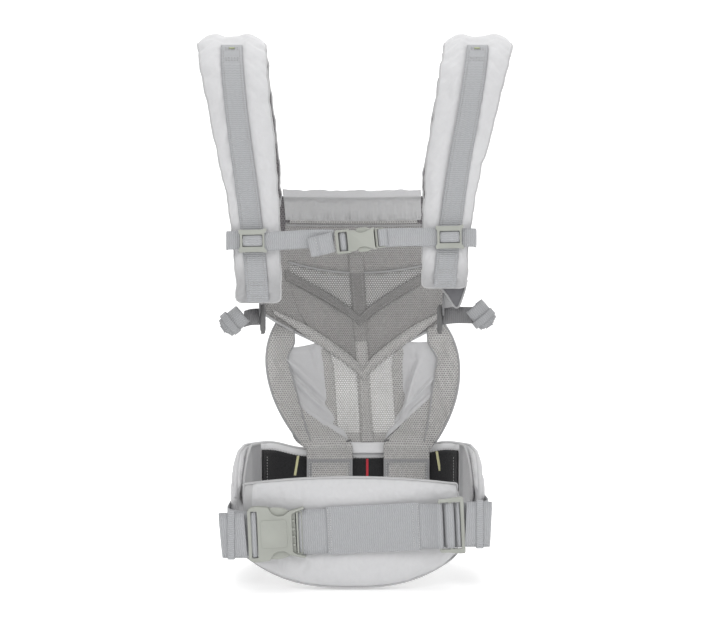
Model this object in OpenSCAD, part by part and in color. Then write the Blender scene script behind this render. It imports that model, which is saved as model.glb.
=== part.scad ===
// Soft structured baby carrier, drawn as worn and buckled.
// +X is the wearer's right, +Y points to the wearer's front, +Z is up.
// z = 0 is the lowest point of the lumbar pad.

/* [Waistbelt] */
// Outside width of the waistbelt loop
belt_w = 284; // [276:1:292]
// Outside depth of the waistbelt loop
belt_d = 236; // [230:1:242]
// Outside radius of the loop's front corners
belt_corner_r = 55; // [50:1:58]
// Thickness of the padded waistbelt
belt_t = 12; // [10:0.5:13]
// Height of the waistbelt's top edge at the middle of the panel
belt_top_z = 130; // [126:1:132]
// Width of the waist webbing
waist_web_w = 48; // [46:0.5:49]

/* [Lumbar pad] */
// Width of the lumbar pad
lumbar_w = 237; // [225:1:240]
// Height of the lumbar pad
lumbar_h = 122; // [116:1:122]
// Thickness of the lumbar pad
lumbar_t = 20; // [16:1:22]
// Radius that the pad is curved to
lumbar_bend_r = 480; // [460:10:520]

/* [Panel] */
// Height of the head support's top edge
panel_top_z = 451; // [446:1:454]
// Half of the panel's width above the wings
panel_half_w = 85; // [82:1:85]
// Widest half width of the seat
seat_half_w = 119; // [114:1:120]
// Thickness of the panel fabric
panel_t = 3; // [2.5:0.5:3.5]

/* [Shoulder straps] */
// Height of the straps' highest centre line
strap_top_z = 609; // [600:1:612]
// Thickness of the padded strap
strap_t = 16; // [14:1:17]
// Width of the strap at its foot
strap_foot_w = 51; // [48:1:53]
// Width of the strap on the shoulder
strap_top_w = 80; // [74:1:82]
// Width of the webbing sewn along the strap
strap_web_w = 24; // [22:1:25]

/* [Buckles] */
// Width of the chest webbing
chest_web_w = 20; // [19:0.5:20.5]
// Gap between the arms and plates of a buckle
buckle_gap = 0.4; // [0.3:0.1:0.5]
// Height of the chest strap
chest_z = 379; // [376:1:382]

/* [Hidden] */
$fn = 48;
web_t = 1.6;
layer = 0.5;
cover_t = 1.5;
belt_x = 3;
belt_end_y = -62;
belt_bottom_z = 5;
strap_spring_z = 470;
strap_mid_y = 2;
strap_near_y = -94;
strap_foot_y = -100;
strap_end = [104, 425];
strap_foot_x = [105, 97];
strap_foot_z = [311, 327];
waist_tilt = 2.6;
waist_z = 66;
waist_y = -114.2;
waist_mouth_x = -69;
waist_slider_x = 103;
chest_tilt = 1.1;
chest_y = -114.1;
chest_mouth_x = 20;
chest_slider_x = [-110.5, 102];
fold_z = 410;
loop_top_z = 121;
loop_h = 49;
tab_w = 58;
tab_z = [95, 137];
tab_x = [-31, 63];

webbing_grey = [0.69, 0.71, 0.72];
cloth_grey = [0.82, 0.82, 0.82];
mesh_grey = [0.66, 0.65, 0.65];
plastic_grey = [0.73, 0.75, 0.70];
hook_black = [0.13, 0.13, 0.14];

// ---- Shared shapes ----

// A closed solid around the surface f(u, v), half its thickness n(u, v) to each side.
// u runs towards +X and v towards +Z where the surface faces -Y.
module sheet(f, n, nu, nv) {
  cols = nu + 1;
  half = cols * (nv + 1);
  cells = [for (j = [0:nv]) for (i = [0:nu]) [i / nu, j / nv]];
  front = [for (c = cells) f(c[0], c[1]) - n(c[0], c[1])];
  back = [for (c = cells) f(c[0], c[1]) + n(c[0], c[1])];
  function at(i, j) = j * cols + i;
  function wall(a, b) = [[a, b, b + half], [a, b + half, a + half]];
  skin = [for (j = [0:nv - 1]) for (i = [0:nu - 1]) each [
    [at(i, j), at(i, j + 1), at(i + 1, j + 1)],
    [at(i, j), at(i + 1, j + 1), at(i + 1, j)]
  ]];
  lining = [for (s = skin) [s[0] + half, s[2] + half, s[1] + half]];
  rims = [
    for (i = [0:nu - 1]) each wall(at(i, 0), at(i + 1, 0)),
    for (i = [0:nu - 1]) each wall(at(i + 1, nv), at(i, nv)),
    for (j = [0:nv - 1]) each wall(at(nu, j), at(nu, j + 1)),
    for (j = [0:nv - 1]) each wall(at(0, j + 1), at(0, j))
  ];
  polyhedron(concat(front, back), concat(skin, lining, rims));
}

// A rectangle with round corners, its centre at the origin.
module round_rect(w, h, r) {
  square([w - 2 * r, h], center = true);
  square([w, h - 2 * r], center = true);
  for (x = [-1, 1], y = [-1, 1])
    translate([x * (w / 2 - r), y * (h / 2 - r)])
      circle(r);
}

// A plate that faces -Y, drawn from its outline in X and Z, t thick about y = 0.
module facing_plate(t) {
  rotate([90, 0, 0])
    linear_extrude(t, center = true)
      children();
}

// A strip t thick along a path of points in plan, h tall about z = 0.
module plan_strip(path, t, h) {
  last = len(path) - 1;
  function dir(i) = let (d = path[min(i + 1, last)] - path[max(i - 1, 0)]) d / norm(d);
  function side(i, s) = path[i] + s * t / 2 * [-dir(i)[1], dir(i)[0]];
  linear_extrude(h, center = true)
    polygon([for (i = [0:last]) side(i, 1), for (i = [last:-1:0]) side(i, -1)]);
}

// Points on an arc in plan.
function arc(centre, r, from, to, steps) =
  [for (i = [0:steps]) let (a = from + (to - from) * i / steps)
    centre + r * [cos(a), sin(a)]];

// A webbing slider: a frame with ears, two slots and a centre bar.
module ladder_frame(w, h, web, t) {
  slot = w * 0.24;
  facing_plate(t)
    difference() {
      union() {
        round_rect(w, h - 3, 2);
        for (x = [-1, 1], z = [-1, 1])
          translate([x * (w / 2 - 3), z * (h / 2 - 3)])
            circle(3);
      }
      for (x = [-1, 1])
        translate([x * w * 0.22, 0])
          square([slot, web + 1.6], center = true);
    }
}

// The female half of a side-release buckle. Its mouth is at x = 0 and it runs to -X.
module buckle_female(length, h, t, web) {
  bar_x = -length + length * 0.13;
  difference() {
    translate([-length / 2, 0, 0])
      facing_plate(t)
        round_rect(length, h, h * 0.07);
    translate([bar_x, 0, 0])
      cube([length * 0.09, t * 2, web + 2], center = true);
    translate([-length * 0.34, 0, 0])
      cube([length * 0.69, t * 0.52, h * 0.8], center = true);
    for (z = [-1, 1])
      translate([-length * 0.24, 0, z * h / 2])
        cube([length * 0.5, t * 2, h * 0.24], center = true);
  }
}

// The male half's base and centre tongue, with a slot and bar for the webbing.
module buckle_male(length, h, t, web) {
  base = length * 0.3;
  tongue_t = t * 0.52 - 2 * buckle_gap;
  difference() {
    translate([base / 2 + buckle_gap, 0, 0])
      facing_plate(t * 0.8)
        round_rect(base, h * 0.94, h * 0.06);
    translate([base * 0.62, 0, 0])
      cube([base * 0.34, t * 2, web + 1.6], center = true);
  }
  translate([-length * 0.3, 0, 0])
    cube([length * 0.64, tongue_t, h * 0.26], center = true);
}

// One springy arm of the male half, with the button that the fingers press.
module buckle_prong(length, h, t) {
  arm_t = t * 0.52 - 2 * buckle_gap;
  button_w = length * 0.38;
  translate([-length * 0.3, 0, h * 0.29])
    cube([length * 0.58, arm_t, h * 0.07], center = true);
  intersection() {
    translate([-length * 0.22, 0, h * 0.4])
      cube([button_w, arm_t, h * 0.2], center = true);
    translate([-length * 0.22, 0, h * 0.5 - button_w * 1.1])
      rotate([90, 0, 0])
        cylinder(h = t, r = button_w * 1.1, center = true, $fn = 64);
  }
}

// ---- Waistbelt ----

// The outline of a ring of the waistbelt's loop in plan, from a to b inside its outer face.
module loop_ring(a, b) {
  translate([belt_x, 0])
    difference() {
      round_rect(belt_w - 2 * a, belt_d - 2 * a, belt_corner_r - a);
      round_rect(belt_w - 2 * b, belt_d - 2 * b, belt_corner_r - b);
    }
}

// The padded belt, open towards the wearer's back, each face moved in by inset.
module belt_solid(inset) {
  top_sag = 10;
  bottom_sag = 30;
  half_w = belt_w / 2;
  top_r = (half_w * half_w + top_sag * top_sag) / (2 * top_sag);
  bottom_r = (half_w * half_w + bottom_sag * bottom_sag) / (2 * bottom_sag);
  tip_r = 52 - inset;
  tip_y = belt_end_y + 52;
  intersection() {
    linear_extrude(160)
      loop_ring(inset, belt_t - inset);
    difference() {
      translate([0, 0, bottom_r + belt_bottom_z + inset])
        rotate([90, 0, 0])
          cylinder(h = 300, r = bottom_r, center = true, $fn = 96);
      translate([0, 0, top_r + belt_top_z - inset])
        rotate([90, 0, 0])
          cylinder(h = 300, r = top_r, center = true, $fn = 96);
    }
    union() {
      translate([-200, tip_y, 0])
        cube([400, 200, 160]);
      translate([0, tip_y, 88])
        rotate([0, 90, 0])
          cylinder(h = 400, r = tip_r, center = true, $fn = 64);
    }
  }
}

module belt_cover() {
  color(cloth_grey)
    difference() {
      belt_solid(0);
      belt_solid(cover_t);
    }
}

module belt_foam() {
  color("white")
    belt_solid(cover_t + 0.3);
}

// A strip on the belt's inner face, cut to x and z ranges.
module inner_face_strip(gap, t, x_range, z_range) {
  intersection() {
    translate([0, 0, z_range[0]])
      linear_extrude(z_range[1] - z_range[0])
        loop_ring(belt_t + gap, belt_t + gap + t);
    translate([x_range[0], 60, 0])
      cube([x_range[1] - x_range[0], 80, 160]);
  }
}

module belt_loop_strip() {
  color(hook_black)
    inner_face_strip(0.3, 1.2, [-113, 125], [loop_top_z - loop_h, loop_top_z]);
}

// A coloured line that shows where a seat tab goes.
module width_mark(x) {
  inner_face_strip(1.8, 0.6, [x - 1.5, x + 1.5], [loop_top_z - 22, loop_top_z - 2]);
}

module centre_width_mark() {
  color([0.78, 0.2, 0.24])
    width_mark(15);
}

module side_width_marks() {
  color([0.85, 0.85, 0.62]) {
    width_mark(-71.5);
    width_mark(102);
  }
}

// Places its children on the waist webbing, which rises towards the wearer's right.
module on_waist() {
  translate([0, waist_y, waist_z])
    rotate([0, -waist_tilt, 0])
      children();
}

module left_waist_webbing() {
  side_x = belt_x - belt_w / 2 - web_t / 2 - layer;
  turn_r = 36;
  path = concat(
    [[side_x, 20]],
    arc([side_x + turn_r, -78], turn_r, 180, 248, 10)
  );
  color(webbing_grey)
    translate([0, 0, 61])
      plan_strip(path, web_t, waist_web_w);
}

module right_waist_webbing() {
  side_x = belt_x + belt_w / 2 + web_t / 2 + layer;
  turn_r = 29;
  path = concat(
    [[side_x, 20]],
    arc([side_x - turn_r, -81], turn_r, 0, -90, 10),
    [[95, -110]]
  );
  color(webbing_grey)
    translate([0, 0, 71])
      plan_strip(path, web_t, waist_web_w);
}

// The spare end of the waist webbing, folded back on itself.
module folded_tail(x, z) {
  color(webbing_grey)
    translate([x, -118, z])
      linear_extrude(waist_web_w, center = true)
        difference() {
          round_rect(27, 6.4, 3);
          round_rect(27 - 2 * web_t, 6.4 - 2 * web_t, 1.5);
        }
}

module left_waist_tail() {
  folded_tail(-131, 60);
}

module right_waist_tail() {
  folded_tail(132.5, 72);
}

// An elastic band around a folded tail.
module tail_keeper(x, z) {
  color(webbing_grey)
    translate([x, -118, z])
      rotate([0, 90, 0])
        linear_extrude(9, center = true)
          difference() {
            round_rect(waist_web_w + 4, 9.4, 2);
            round_rect(waist_web_w + 2, 7.2, 1);
          }
}

module left_waist_keeper() {
  tail_keeper(-133, 60);
}

module right_waist_keeper() {
  tail_keeper(134, 72);
}

module waist_buckle_female() {
  color(plastic_grey)
    on_waist()
      translate([waist_mouth_x, 0, 0])
        buckle_female(46, 60, 12, waist_web_w);
}

module waist_buckle_male() {
  color(plastic_grey)
    on_waist()
      translate([waist_mouth_x, 0, 0])
        buckle_male(46, 60, 12, waist_web_w);
}

module waist_prong_upper() {
  color(plastic_grey)
    on_waist()
      translate([waist_mouth_x, 0, 0])
        buckle_prong(46, 60, 12);
}

module waist_prong_lower() {
  color(plastic_grey)
    on_waist()
      translate([waist_mouth_x, 0, 0])
        mirror([0, 0, 1])
          buckle_prong(46, 60, 12);
}

module waist_front_webbing() {
  color(webbing_grey)
    on_waist()
      translate([32, 0, 0])
        cube([172, web_t, waist_web_w], center = true);
}

module waist_slider() {
  color(plastic_grey)
    on_waist()
      translate([waist_slider_x, -web_t / 2 - layer - 2.5, 0])
        ladder_frame(28, 60, waist_web_w, 5);
}

// ---- Lumbar pad ----

// The pad's outline, arched above and deeply curved below, bent to fit a back.
module lumbar_solid(inset) {
  half_w = lumbar_w / 2;
  top_sag = 9;
  bottom_sag = 33;
  top_r = (half_w * half_w + top_sag * top_sag) / (2 * top_sag);
  bottom_r = (half_w * half_w + bottom_sag * bottom_sag) / (2 * bottom_sag);
  translate([-5, -110, 0])
    intersection() {
      translate([-half_w + inset, -10, 0])
        cube([lumbar_w - 2 * inset, 80, 160]);
      translate([0, 0, lumbar_h - top_r])
        rotate([90, 0, 0])
          cylinder(h = 200, r = top_r - inset, center = true, $fn = 96);
      translate([0, 0, bottom_r])
        rotate([90, 0, 0])
          cylinder(h = 200, r = bottom_r - inset, center = true, $fn = 96);
      translate([0, lumbar_bend_r, 0])
        difference() {
          cylinder(h = 160, r = lumbar_bend_r - inset, $fn = 96);
          translate([0, 0, -1])
            cylinder(h = 162, r = lumbar_bend_r - lumbar_t + inset, $fn = 96);
        }
    }
}

module lumbar_cover() {
  color(cloth_grey)
    difference() {
      lumbar_solid(0);
      lumbar_solid(cover_t);
    }
}

module lumbar_foam() {
  color("white")
    lumbar_solid(cover_t + 0.3);
}

// The flat tunnel on the pad that the waist webbing runs through.
module lumbar_sleeve() {
  color(webbing_grey)
    on_waist()
      translate([20, 0, 0])
        rotate([0, 90, 0])
          linear_extrude(100, center = true)
            difference() {
              square([waist_web_w + 4.6, 6], center = true);
              square([waist_web_w + 2, 3.4], center = true);
            }
}

// ---- Body panel ----

function mix(a, b, k) = a + (b - a) * k;
function clamp(k) = min(max(k, 0), 1);
function smooth(k) = let (c = clamp(k)) c * c * (3 - 2 * c);

// The panel hangs slightly to one side: this is its centre line.
function lean(z) = (panel_top_z - z) * 0.0625 - 4;

// A point on the panel's surface, dx to the side of its centre line.
function panel_point(dx, z, lift) =
  [lean(z) + dx, 112 + 26 * sin(180 * (z - 115) / 340) - 0.002 * dx * dx - lift, z];

// Half the width of the centre panel.
function panel_w(z) = mix(50, panel_half_w, smooth((z - 250) / 90));

// Half the width of the seat, out to the edge of its padded sides.
function seat_w(z) = let (d = z - 237)
  seat_half_w - (d < 0 ? 37 * pow(d / 98, 2) : 15 * pow(d / 51, 2));

// Where the padded side meets the pocket.
function bolster_in(z) = seat_w(z) - 12 - 19 * sin(180 * clamp((z - 135) / 148));

// u runs outwards on either side.
function outward(side, u) = side > 0 ? u : 1 - u;

module body_panel() {
  color(mesh_grey)
    sheet(
      function(u, v) let (z = mix(136, fold_z, v)) panel_point((2 * u - 1) * panel_w(z), z, 0),
      function(u, v) [0, panel_t / 2, 0],
      8, 14
    );
}

module centre_strip() {
  color(webbing_grey)
    sheet(
      function(u, v) panel_point((2 * u - 1) * 9, mix(140, 372, v), 2.7),
      function(u, v) [0, 0.7, 0],
      2, 12
    );
}

// A curved band across the panel: its height follows dx to a power.
module v_band(apex_z, rise, reach, bend, band_h) {
  sheet(
    function(u, v) let (
      dx = (2 * u - 1) * reach,
      z = apex_z + rise * pow(abs(dx) / reach, bend)
    ) panel_point(dx, z + (v - 0.5) * band_h, 4.9),
    function(u, v) [0, 0.7, 0],
    14, 1
  );
}

module upper_v_band() {
  color(webbing_grey)
    v_band(288, 58, 88, 0.8, 13);
}

module lower_v_band() {
  color(webbing_grey)
    v_band(222, 66, 85, 0.8, 13);
}

// The wing that carries the shoulder strap's side webbing.
module wing(side) {
  tip = 121;
  color(mesh_grey)
    sheet(
      function(u, v) let (
        k = outward(side, u),
        z = mix(mix(262, 301, k), mix(395, 327, smooth(k)), v),
        inner = panel_w(z) + 1.2
      ) panel_point(side * mix(inner, tip, k), z, 0),
      function(u, v) [0, panel_t / 2, 0],
      6, 8
    );
}

module left_wing() {
  wing(-1);
}

module right_wing() {
  wing(1);
}

// The padded mesh side of the bucket seat.
module seat_side(side) {
  color(mesh_grey)
    sheet(
      function(u, v) let (
        k = outward(side, u),
        z = mix(141, 284, v)
      ) panel_point(side * mix(bolster_in(z), seat_w(z), k), z, 6),
      function(u, v) [0, 1.5 + 2.5 * sin(180 * u), 0],
      4, 14
    );
}

module left_seat_side() {
  seat_side(-1);
}

module right_seat_side() {
  seat_side(1);
}

// The smooth fabric between the padded side and the centre panel.
module seat_pocket(side) {
  color(cloth_grey)
    sheet(
      function(u, v) let (
        k = outward(side, u),
        z = mix(148, 254, v)
      ) panel_point(side * mix(panel_w(z) + 1.2, bolster_in(z) - 1, k), z, 0),
      function(u, v) [0, 1, 0],
      3, 10
    );
}

module left_seat_pocket() {
  seat_pocket(-1);
}

module right_seat_pocket() {
  seat_pocket(1);
}

// The tab at the foot of a seat side, which sticks to the belt's loop strip.
module seat_tab(x) {
  color(mesh_grey)
    translate([x, 100.2, (tab_z[0] + tab_z[1]) / 2])
      facing_plate(3.5)
        round_rect(tab_w, tab_z[1] - tab_z[0], 5);
}

module left_seat_tab() {
  seat_tab(tab_x[0]);
}

module right_seat_tab() {
  seat_tab(tab_x[1]);
}

module head_support() {
  color(cloth_grey)
    sheet(
      function(u, v) panel_point((2 * u - 1) * (panel_half_w - 1), mix(fold_z + 2.5, panel_top_z, v), 0),
      function(u, v) [0, 3, 0],
      8, 3
    );
}

module head_support_binding() {
  color(webbing_grey)
    sheet(
      function(u, v) panel_point((2 * u - 1) * (panel_half_w - 1), mix(panel_top_z - 10, panel_top_z, v), 4.3),
      function(u, v) [0, 0.8, 0],
      8, 1
    );
}

// ---- Shoulder straps ----
// Side 0 is the left strap and side 1 the right. v runs from the foot over the shoulder.

foot_v = 0.3;
arch_v = 0.88;

function strap_angle(v) = 180 * clamp((v - foot_v) / (arch_v - foot_v));

function strap_yz(i, v) = let (a = strap_angle(v), half_d = strap_mid_y - strap_near_y)
  v < foot_v
    ? mix([strap_foot_y, strap_foot_z[i]], [strap_near_y, strap_spring_z], v / foot_v)
    : v < arch_v
      ? [strap_mid_y - half_d * cos(a), strap_spring_z + (strap_top_z - strap_spring_z) * sin(a)]
      : mix([strap_mid_y + half_d, strap_spring_z], strap_end, (v - arch_v) / (1 - arch_v));

// How much the strap has narrowed, from its outer side, towards its seam with the panel.
function strap_taper(v) = 12 * pow(clamp((v - 0.8) / 0.2), 2);

function strap_x(i, v) = let (a = strap_angle(v), flare = pow(min(v / foot_v, 1), 2))
  strap_foot_x[i] + 13 * flare + (125 - strap_foot_x[i]) * sin(a) + 8 * a / 180 - strap_taper(v);

function strap_half_w(v) = let (a = strap_angle(v), top = strap_top_w / 2 - 32.5)
  strap_foot_w / 2 + 7 * pow(min(v / foot_v, 1), 2) + top * sin(min(a, 90))
    - 4 * max(a - 90, 0) / 90 - strap_taper(v);

// The unit vector from the outer face of the strap to its inner face.
function strap_inward(i, v) = let (
    e = 0.005,
    d = strap_yz(i, min(v + e, 1)) - strap_yz(i, max(v - e, 0)),
    t = d / norm(d)
  ) [0, t[1], -t[0]];

function strap_point(i, v, dx, lift) = let (p = strap_yz(i, v), side = 2 * i - 1)
  [side * strap_x(i, v) + dx, p[0], p[1]] - lift * strap_inward(i, v);

// A padded body along the strap: trim narrows it, and t is its full thickness.
module strap_pad(i, trim, t, v0, v1) {
  sheet(
    function(u, v) let (s = mix(v0, v1, v))
      strap_point(i, s, (2 * u - 1) * (strap_half_w(s) - trim), 0),
    function(u, v) strap_inward(i, mix(v0, v1, v)) * t / 2 * (1 - 0.7 * pow(abs(2 * u - 1), 4)),
    6, 22
  );
}

module strap_cover(i) {
  color(cloth_grey)
    difference() {
      strap_pad(i, 0, strap_t, 0, 1);
      strap_pad(i, 3, strap_t - 4, 0.012, 0.988);
    }
}

module strap_foam(i) {
  color("white")
    strap_pad(i, 4.5, strap_t - 6, 0.02, 0.98);
}

module strap_webbing(i) {
  side = 2 * i - 1;
  v1 = 11 / 22;
  color(webbing_grey)
    sheet(
      function(u, v) let (s = v * v1)
        strap_point(i, s, (u - 0.5) * strap_web_w + side * 5 * sin(180 * v), strap_t / 2 + web_t / 2 + 0.6),
      function(u, v) strap_inward(i, v * v1) * web_t / 2,
      2, 11
    );
}

module left_strap_cover() {
  strap_cover(0);
}

module right_strap_cover() {
  strap_cover(1);
}

module left_strap_foam() {
  strap_foam(0);
}

module right_strap_foam() {
  strap_foam(1);
}

module left_strap_webbing() {
  strap_webbing(0);
}

module right_strap_webbing() {
  strap_webbing(1);
}

// The webbing from a wing's tip to the foot of the shoulder strap.
module side_webbing(i) {
  side = 2 * i - 1;
  tip_x = side > 0 ? 125 : 113;
  color(webbing_grey)
    translate([0, 0, 305])
      rotate([4, 0, 0])
        plan_strip([[side * strap_foot_x[i], -84], [side * tip_x, 96]], web_t, 25);
}

module left_side_webbing() {
  side_webbing(0);
}

module right_side_webbing() {
  side_webbing(1);
}

// The slider that sets the strap's length, flat against the side webbing.
module ladder_lock(i) {
  side = 2 * i - 1;
  color(plastic_grey)
    translate([side * (strap_foot_x[i] - 3.6), -74, 292])
      rotate([0, 0, 90])
        ladder_frame(20, 33, 25, 3.5);
}

module left_ladder_lock() {
  ladder_lock(0);
}

module right_ladder_lock() {
  ladder_lock(1);
}

// The spare side webbing, rolled up.
module webbing_roll(x, z, tilt) {
  color(webbing_grey)
    translate([x, -95, z])
      rotate([0, tilt, 0])
        difference() {
          cylinder(h = 26, r = 10.5, center = true);
          cylinder(h = 30, r = 2.5, center = true);
        }
}

module left_webbing_roll() {
  webbing_roll(-132, 291, 50);
}

module right_webbing_roll() {
  webbing_roll(137, 297, -40);
}

// ---- Chest strap ----

module on_chest() {
  translate([0, chest_y, chest_z])
    rotate([0, -chest_tilt, 0])
      children();
}

module chest_slider(x) {
  color(plastic_grey)
    on_chest()
      translate([x, 0, 0])
        rotate([0, 90, 0])
          ladder_frame(26, 28, chest_web_w, 3.5);
}

module left_chest_slider() {
  chest_slider(chest_slider_x[0]);
}

module right_chest_slider() {
  chest_slider(chest_slider_x[1]);
}

module chest_webbing(x0, x1) {
  color(webbing_grey)
    on_chest()
      translate([(x0 + x1) / 2, 2.9, 0])
        cube([x1 - x0, 1.4, chest_web_w], center = true);
}

module left_chest_webbing() {
  chest_webbing(-124, chest_mouth_x - 41.8);
}

module right_chest_webbing() {
  chest_webbing(chest_mouth_x + 13, 112);
}

// The spare end of the chest webbing, with its folded hem.
module chest_webbing_tail() {
  color(webbing_grey)
    on_chest()
      translate([-35, 0.4, -6])
        rotate([0, -12, 0]) {
          cube([21, 1.4, chest_web_w], center = true);
          translate([-9, -1, 0])
            cube([7, 2.4, chest_web_w], center = true);
        }
}

// The loops that hold the chest strap to the padded straps.
module chest_strap_loops() {
  t = 1.2;
  color(webbing_grey)
    for (i = [0, 1]) {
      side = 2 * i - 1;
      edge_x = side * (strap_foot_x[i] + 34);
      turn = edge_x - side * 3;
      translate([0, 0, chest_z + side * 2])
        plan_strip(
          [[edge_x - side * 34, -109.8], [turn, -109.8], [edge_x, -106.8], [edge_x, -92]],
          t, chest_web_w
        );
    }
}

module chest_buckle_female() {
  color(plastic_grey)
    on_chest()
      translate([chest_mouth_x, 0, 0])
        buckle_female(41, 26, 9, chest_web_w);
}

module chest_buckle_male() {
  color(plastic_grey)
    on_chest()
      translate([chest_mouth_x, 0, 0])
        buckle_male(41, 26, 9, chest_web_w);
}

module chest_prong_upper() {
  color(plastic_grey)
    on_chest()
      translate([chest_mouth_x, 0, 0])
        buckle_prong(41, 26, 9);
}

module chest_prong_lower() {
  color(plastic_grey)
    on_chest()
      translate([chest_mouth_x, 0, 0])
        mirror([0, 0, 1])
          buckle_prong(41, 26, 9);
}

belt_cover();
belt_foam();
belt_loop_strip();
centre_width_mark();
side_width_marks();
left_waist_webbing();
right_waist_webbing();
left_waist_tail();
right_waist_tail();
left_waist_keeper();
right_waist_keeper();
waist_buckle_female();
waist_buckle_male();
waist_prong_upper();
waist_prong_lower();
waist_front_webbing();
waist_slider();
lumbar_cover();
lumbar_foam();
lumbar_sleeve();
body_panel();
centre_strip();
upper_v_band();
lower_v_band();
left_wing();
right_wing();
left_seat_side();
right_seat_side();
left_seat_pocket();
right_seat_pocket();
left_seat_tab();
right_seat_tab();
head_support();
head_support_binding();
left_strap_cover();
right_strap_cover();
left_strap_foam();
right_strap_foam();
left_strap_webbing();
right_strap_webbing();
left_side_webbing();
right_side_webbing();
left_ladder_lock();
right_ladder_lock();
left_webbing_roll();
right_webbing_roll();
left_chest_slider();
right_chest_slider();
left_chest_webbing();
chest_webbing_tail();
right_chest_webbing();
chest_strap_loops();
chest_buckle_female();
chest_buckle_male();
chest_prong_upper();
chest_prong_lower();
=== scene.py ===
"""Soft baby carrier: fabric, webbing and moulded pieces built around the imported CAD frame.

Lengths are metres where nothing else is said, in the frame's own axes: +X the wearer's right, +Y the
wearer's front, +Z up. The viewer stands behind the wearer, on the side of -Y.
"""

import math

import bmesh
import bpy
import numpy as np
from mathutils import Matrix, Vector


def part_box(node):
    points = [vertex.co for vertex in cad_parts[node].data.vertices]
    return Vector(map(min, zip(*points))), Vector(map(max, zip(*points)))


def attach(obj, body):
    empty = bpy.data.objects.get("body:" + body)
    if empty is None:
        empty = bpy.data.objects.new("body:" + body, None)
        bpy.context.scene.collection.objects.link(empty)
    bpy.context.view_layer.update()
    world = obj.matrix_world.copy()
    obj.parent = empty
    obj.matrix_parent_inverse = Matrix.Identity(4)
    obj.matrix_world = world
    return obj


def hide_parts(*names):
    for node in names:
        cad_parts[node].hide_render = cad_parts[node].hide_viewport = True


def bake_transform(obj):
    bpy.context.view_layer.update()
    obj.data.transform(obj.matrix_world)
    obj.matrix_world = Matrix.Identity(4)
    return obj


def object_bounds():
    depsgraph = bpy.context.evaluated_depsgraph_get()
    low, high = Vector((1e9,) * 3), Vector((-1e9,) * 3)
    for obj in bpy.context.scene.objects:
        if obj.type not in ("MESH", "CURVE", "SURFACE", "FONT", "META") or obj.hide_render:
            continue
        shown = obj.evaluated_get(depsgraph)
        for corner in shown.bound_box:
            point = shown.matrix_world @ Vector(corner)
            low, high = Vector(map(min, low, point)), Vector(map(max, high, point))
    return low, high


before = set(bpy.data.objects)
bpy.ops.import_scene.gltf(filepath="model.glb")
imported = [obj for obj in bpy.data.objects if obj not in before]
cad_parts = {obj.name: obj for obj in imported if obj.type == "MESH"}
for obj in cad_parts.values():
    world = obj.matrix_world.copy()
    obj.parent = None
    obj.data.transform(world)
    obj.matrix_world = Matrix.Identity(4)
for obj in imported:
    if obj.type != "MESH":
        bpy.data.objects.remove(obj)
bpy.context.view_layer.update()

MM = 0.001
ROOT = "carrier"
SIDES = {"left": -1, "right": 1}
VIEWER = (0, -1, 0)
rng = np.random.default_rng(7)  # only the head support's pleats draw from it


# ---------------------------------------------------------------- small maths

def mix(a, b, k):
    """a at k = 0, b at k = 1."""
    return a + (b - a) * k


def clamp(k, low=0.0, high=1.0):
    return max(low, min(high, k))


def smooth(k):
    """0 to 1 with a level start and end."""
    k = clamp(k)
    return k * k * (3 - 2 * k)


def unit(v):
    v = np.asarray(v, float)
    return v / max(np.linalg.norm(v), 1e-12)


def wave(x, seed):
    """Smooth, irregular waviness between about -1 and 1, with features about 1 long in x."""
    return (math.sin(2.1 * x + seed) + 0.7 * math.sin(3.7 * x + 2.3 * seed)
            + 0.5 * math.sin(6.1 * x + 4.1 * seed)) / 2.2


def box_centre(node):
    low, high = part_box(node)
    return (np.array(low) + np.array(high)) / 2


def nearer(points, distance):
    """Points, or a list of them, brought towards the viewer by a distance."""
    return np.asarray(points) + np.array([0, -distance, 0])


def arc_lengths(path):
    """Length along a path from its first point to each of its points."""
    return np.concatenate([[0], np.cumsum(np.linalg.norm(np.diff(path, axis=0), axis=1))])


def respaced(path, count):
    """The same path with count evenly spaced points."""
    lengths = arc_lengths(path)
    even = np.linspace(0, lengths[-1], count)
    return np.stack([np.interp(even, lengths, path[:, k]) for k in range(3)], 1)


def grid_index(nu, nv):
    """Column and row of every point of a grid, and which of the points are on its rim."""
    column = np.tile(np.arange(nu + 1), nv + 1)
    row = np.repeat(np.arange(nv + 1), nu + 1)
    return column, row, (column == 0) | (column == nu) | (row == 0) | (row == nv)


def wavy(nu, nv, height, f):
    """A grid of smooth waviness; f turns a column and a row into the wave's place and seed."""
    return np.array([[height * wave(*f(i, j)) for i in range(nu + 1)] for j in range(nv + 1)])


def axes(nu, nv, start=0):
    """A row of values over the columns and a column of values over the rows, from start to 1."""
    return np.linspace(start, 1, nu + 1)[None, :], np.linspace(start, 1, nv + 1)[:, None]


def dent(x, centre, width):
    """A smooth bump of height 1 around centre."""
    return np.exp(-((x - centre) / width) ** 2)


# ---------------------------------------------------------------- materials

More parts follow.
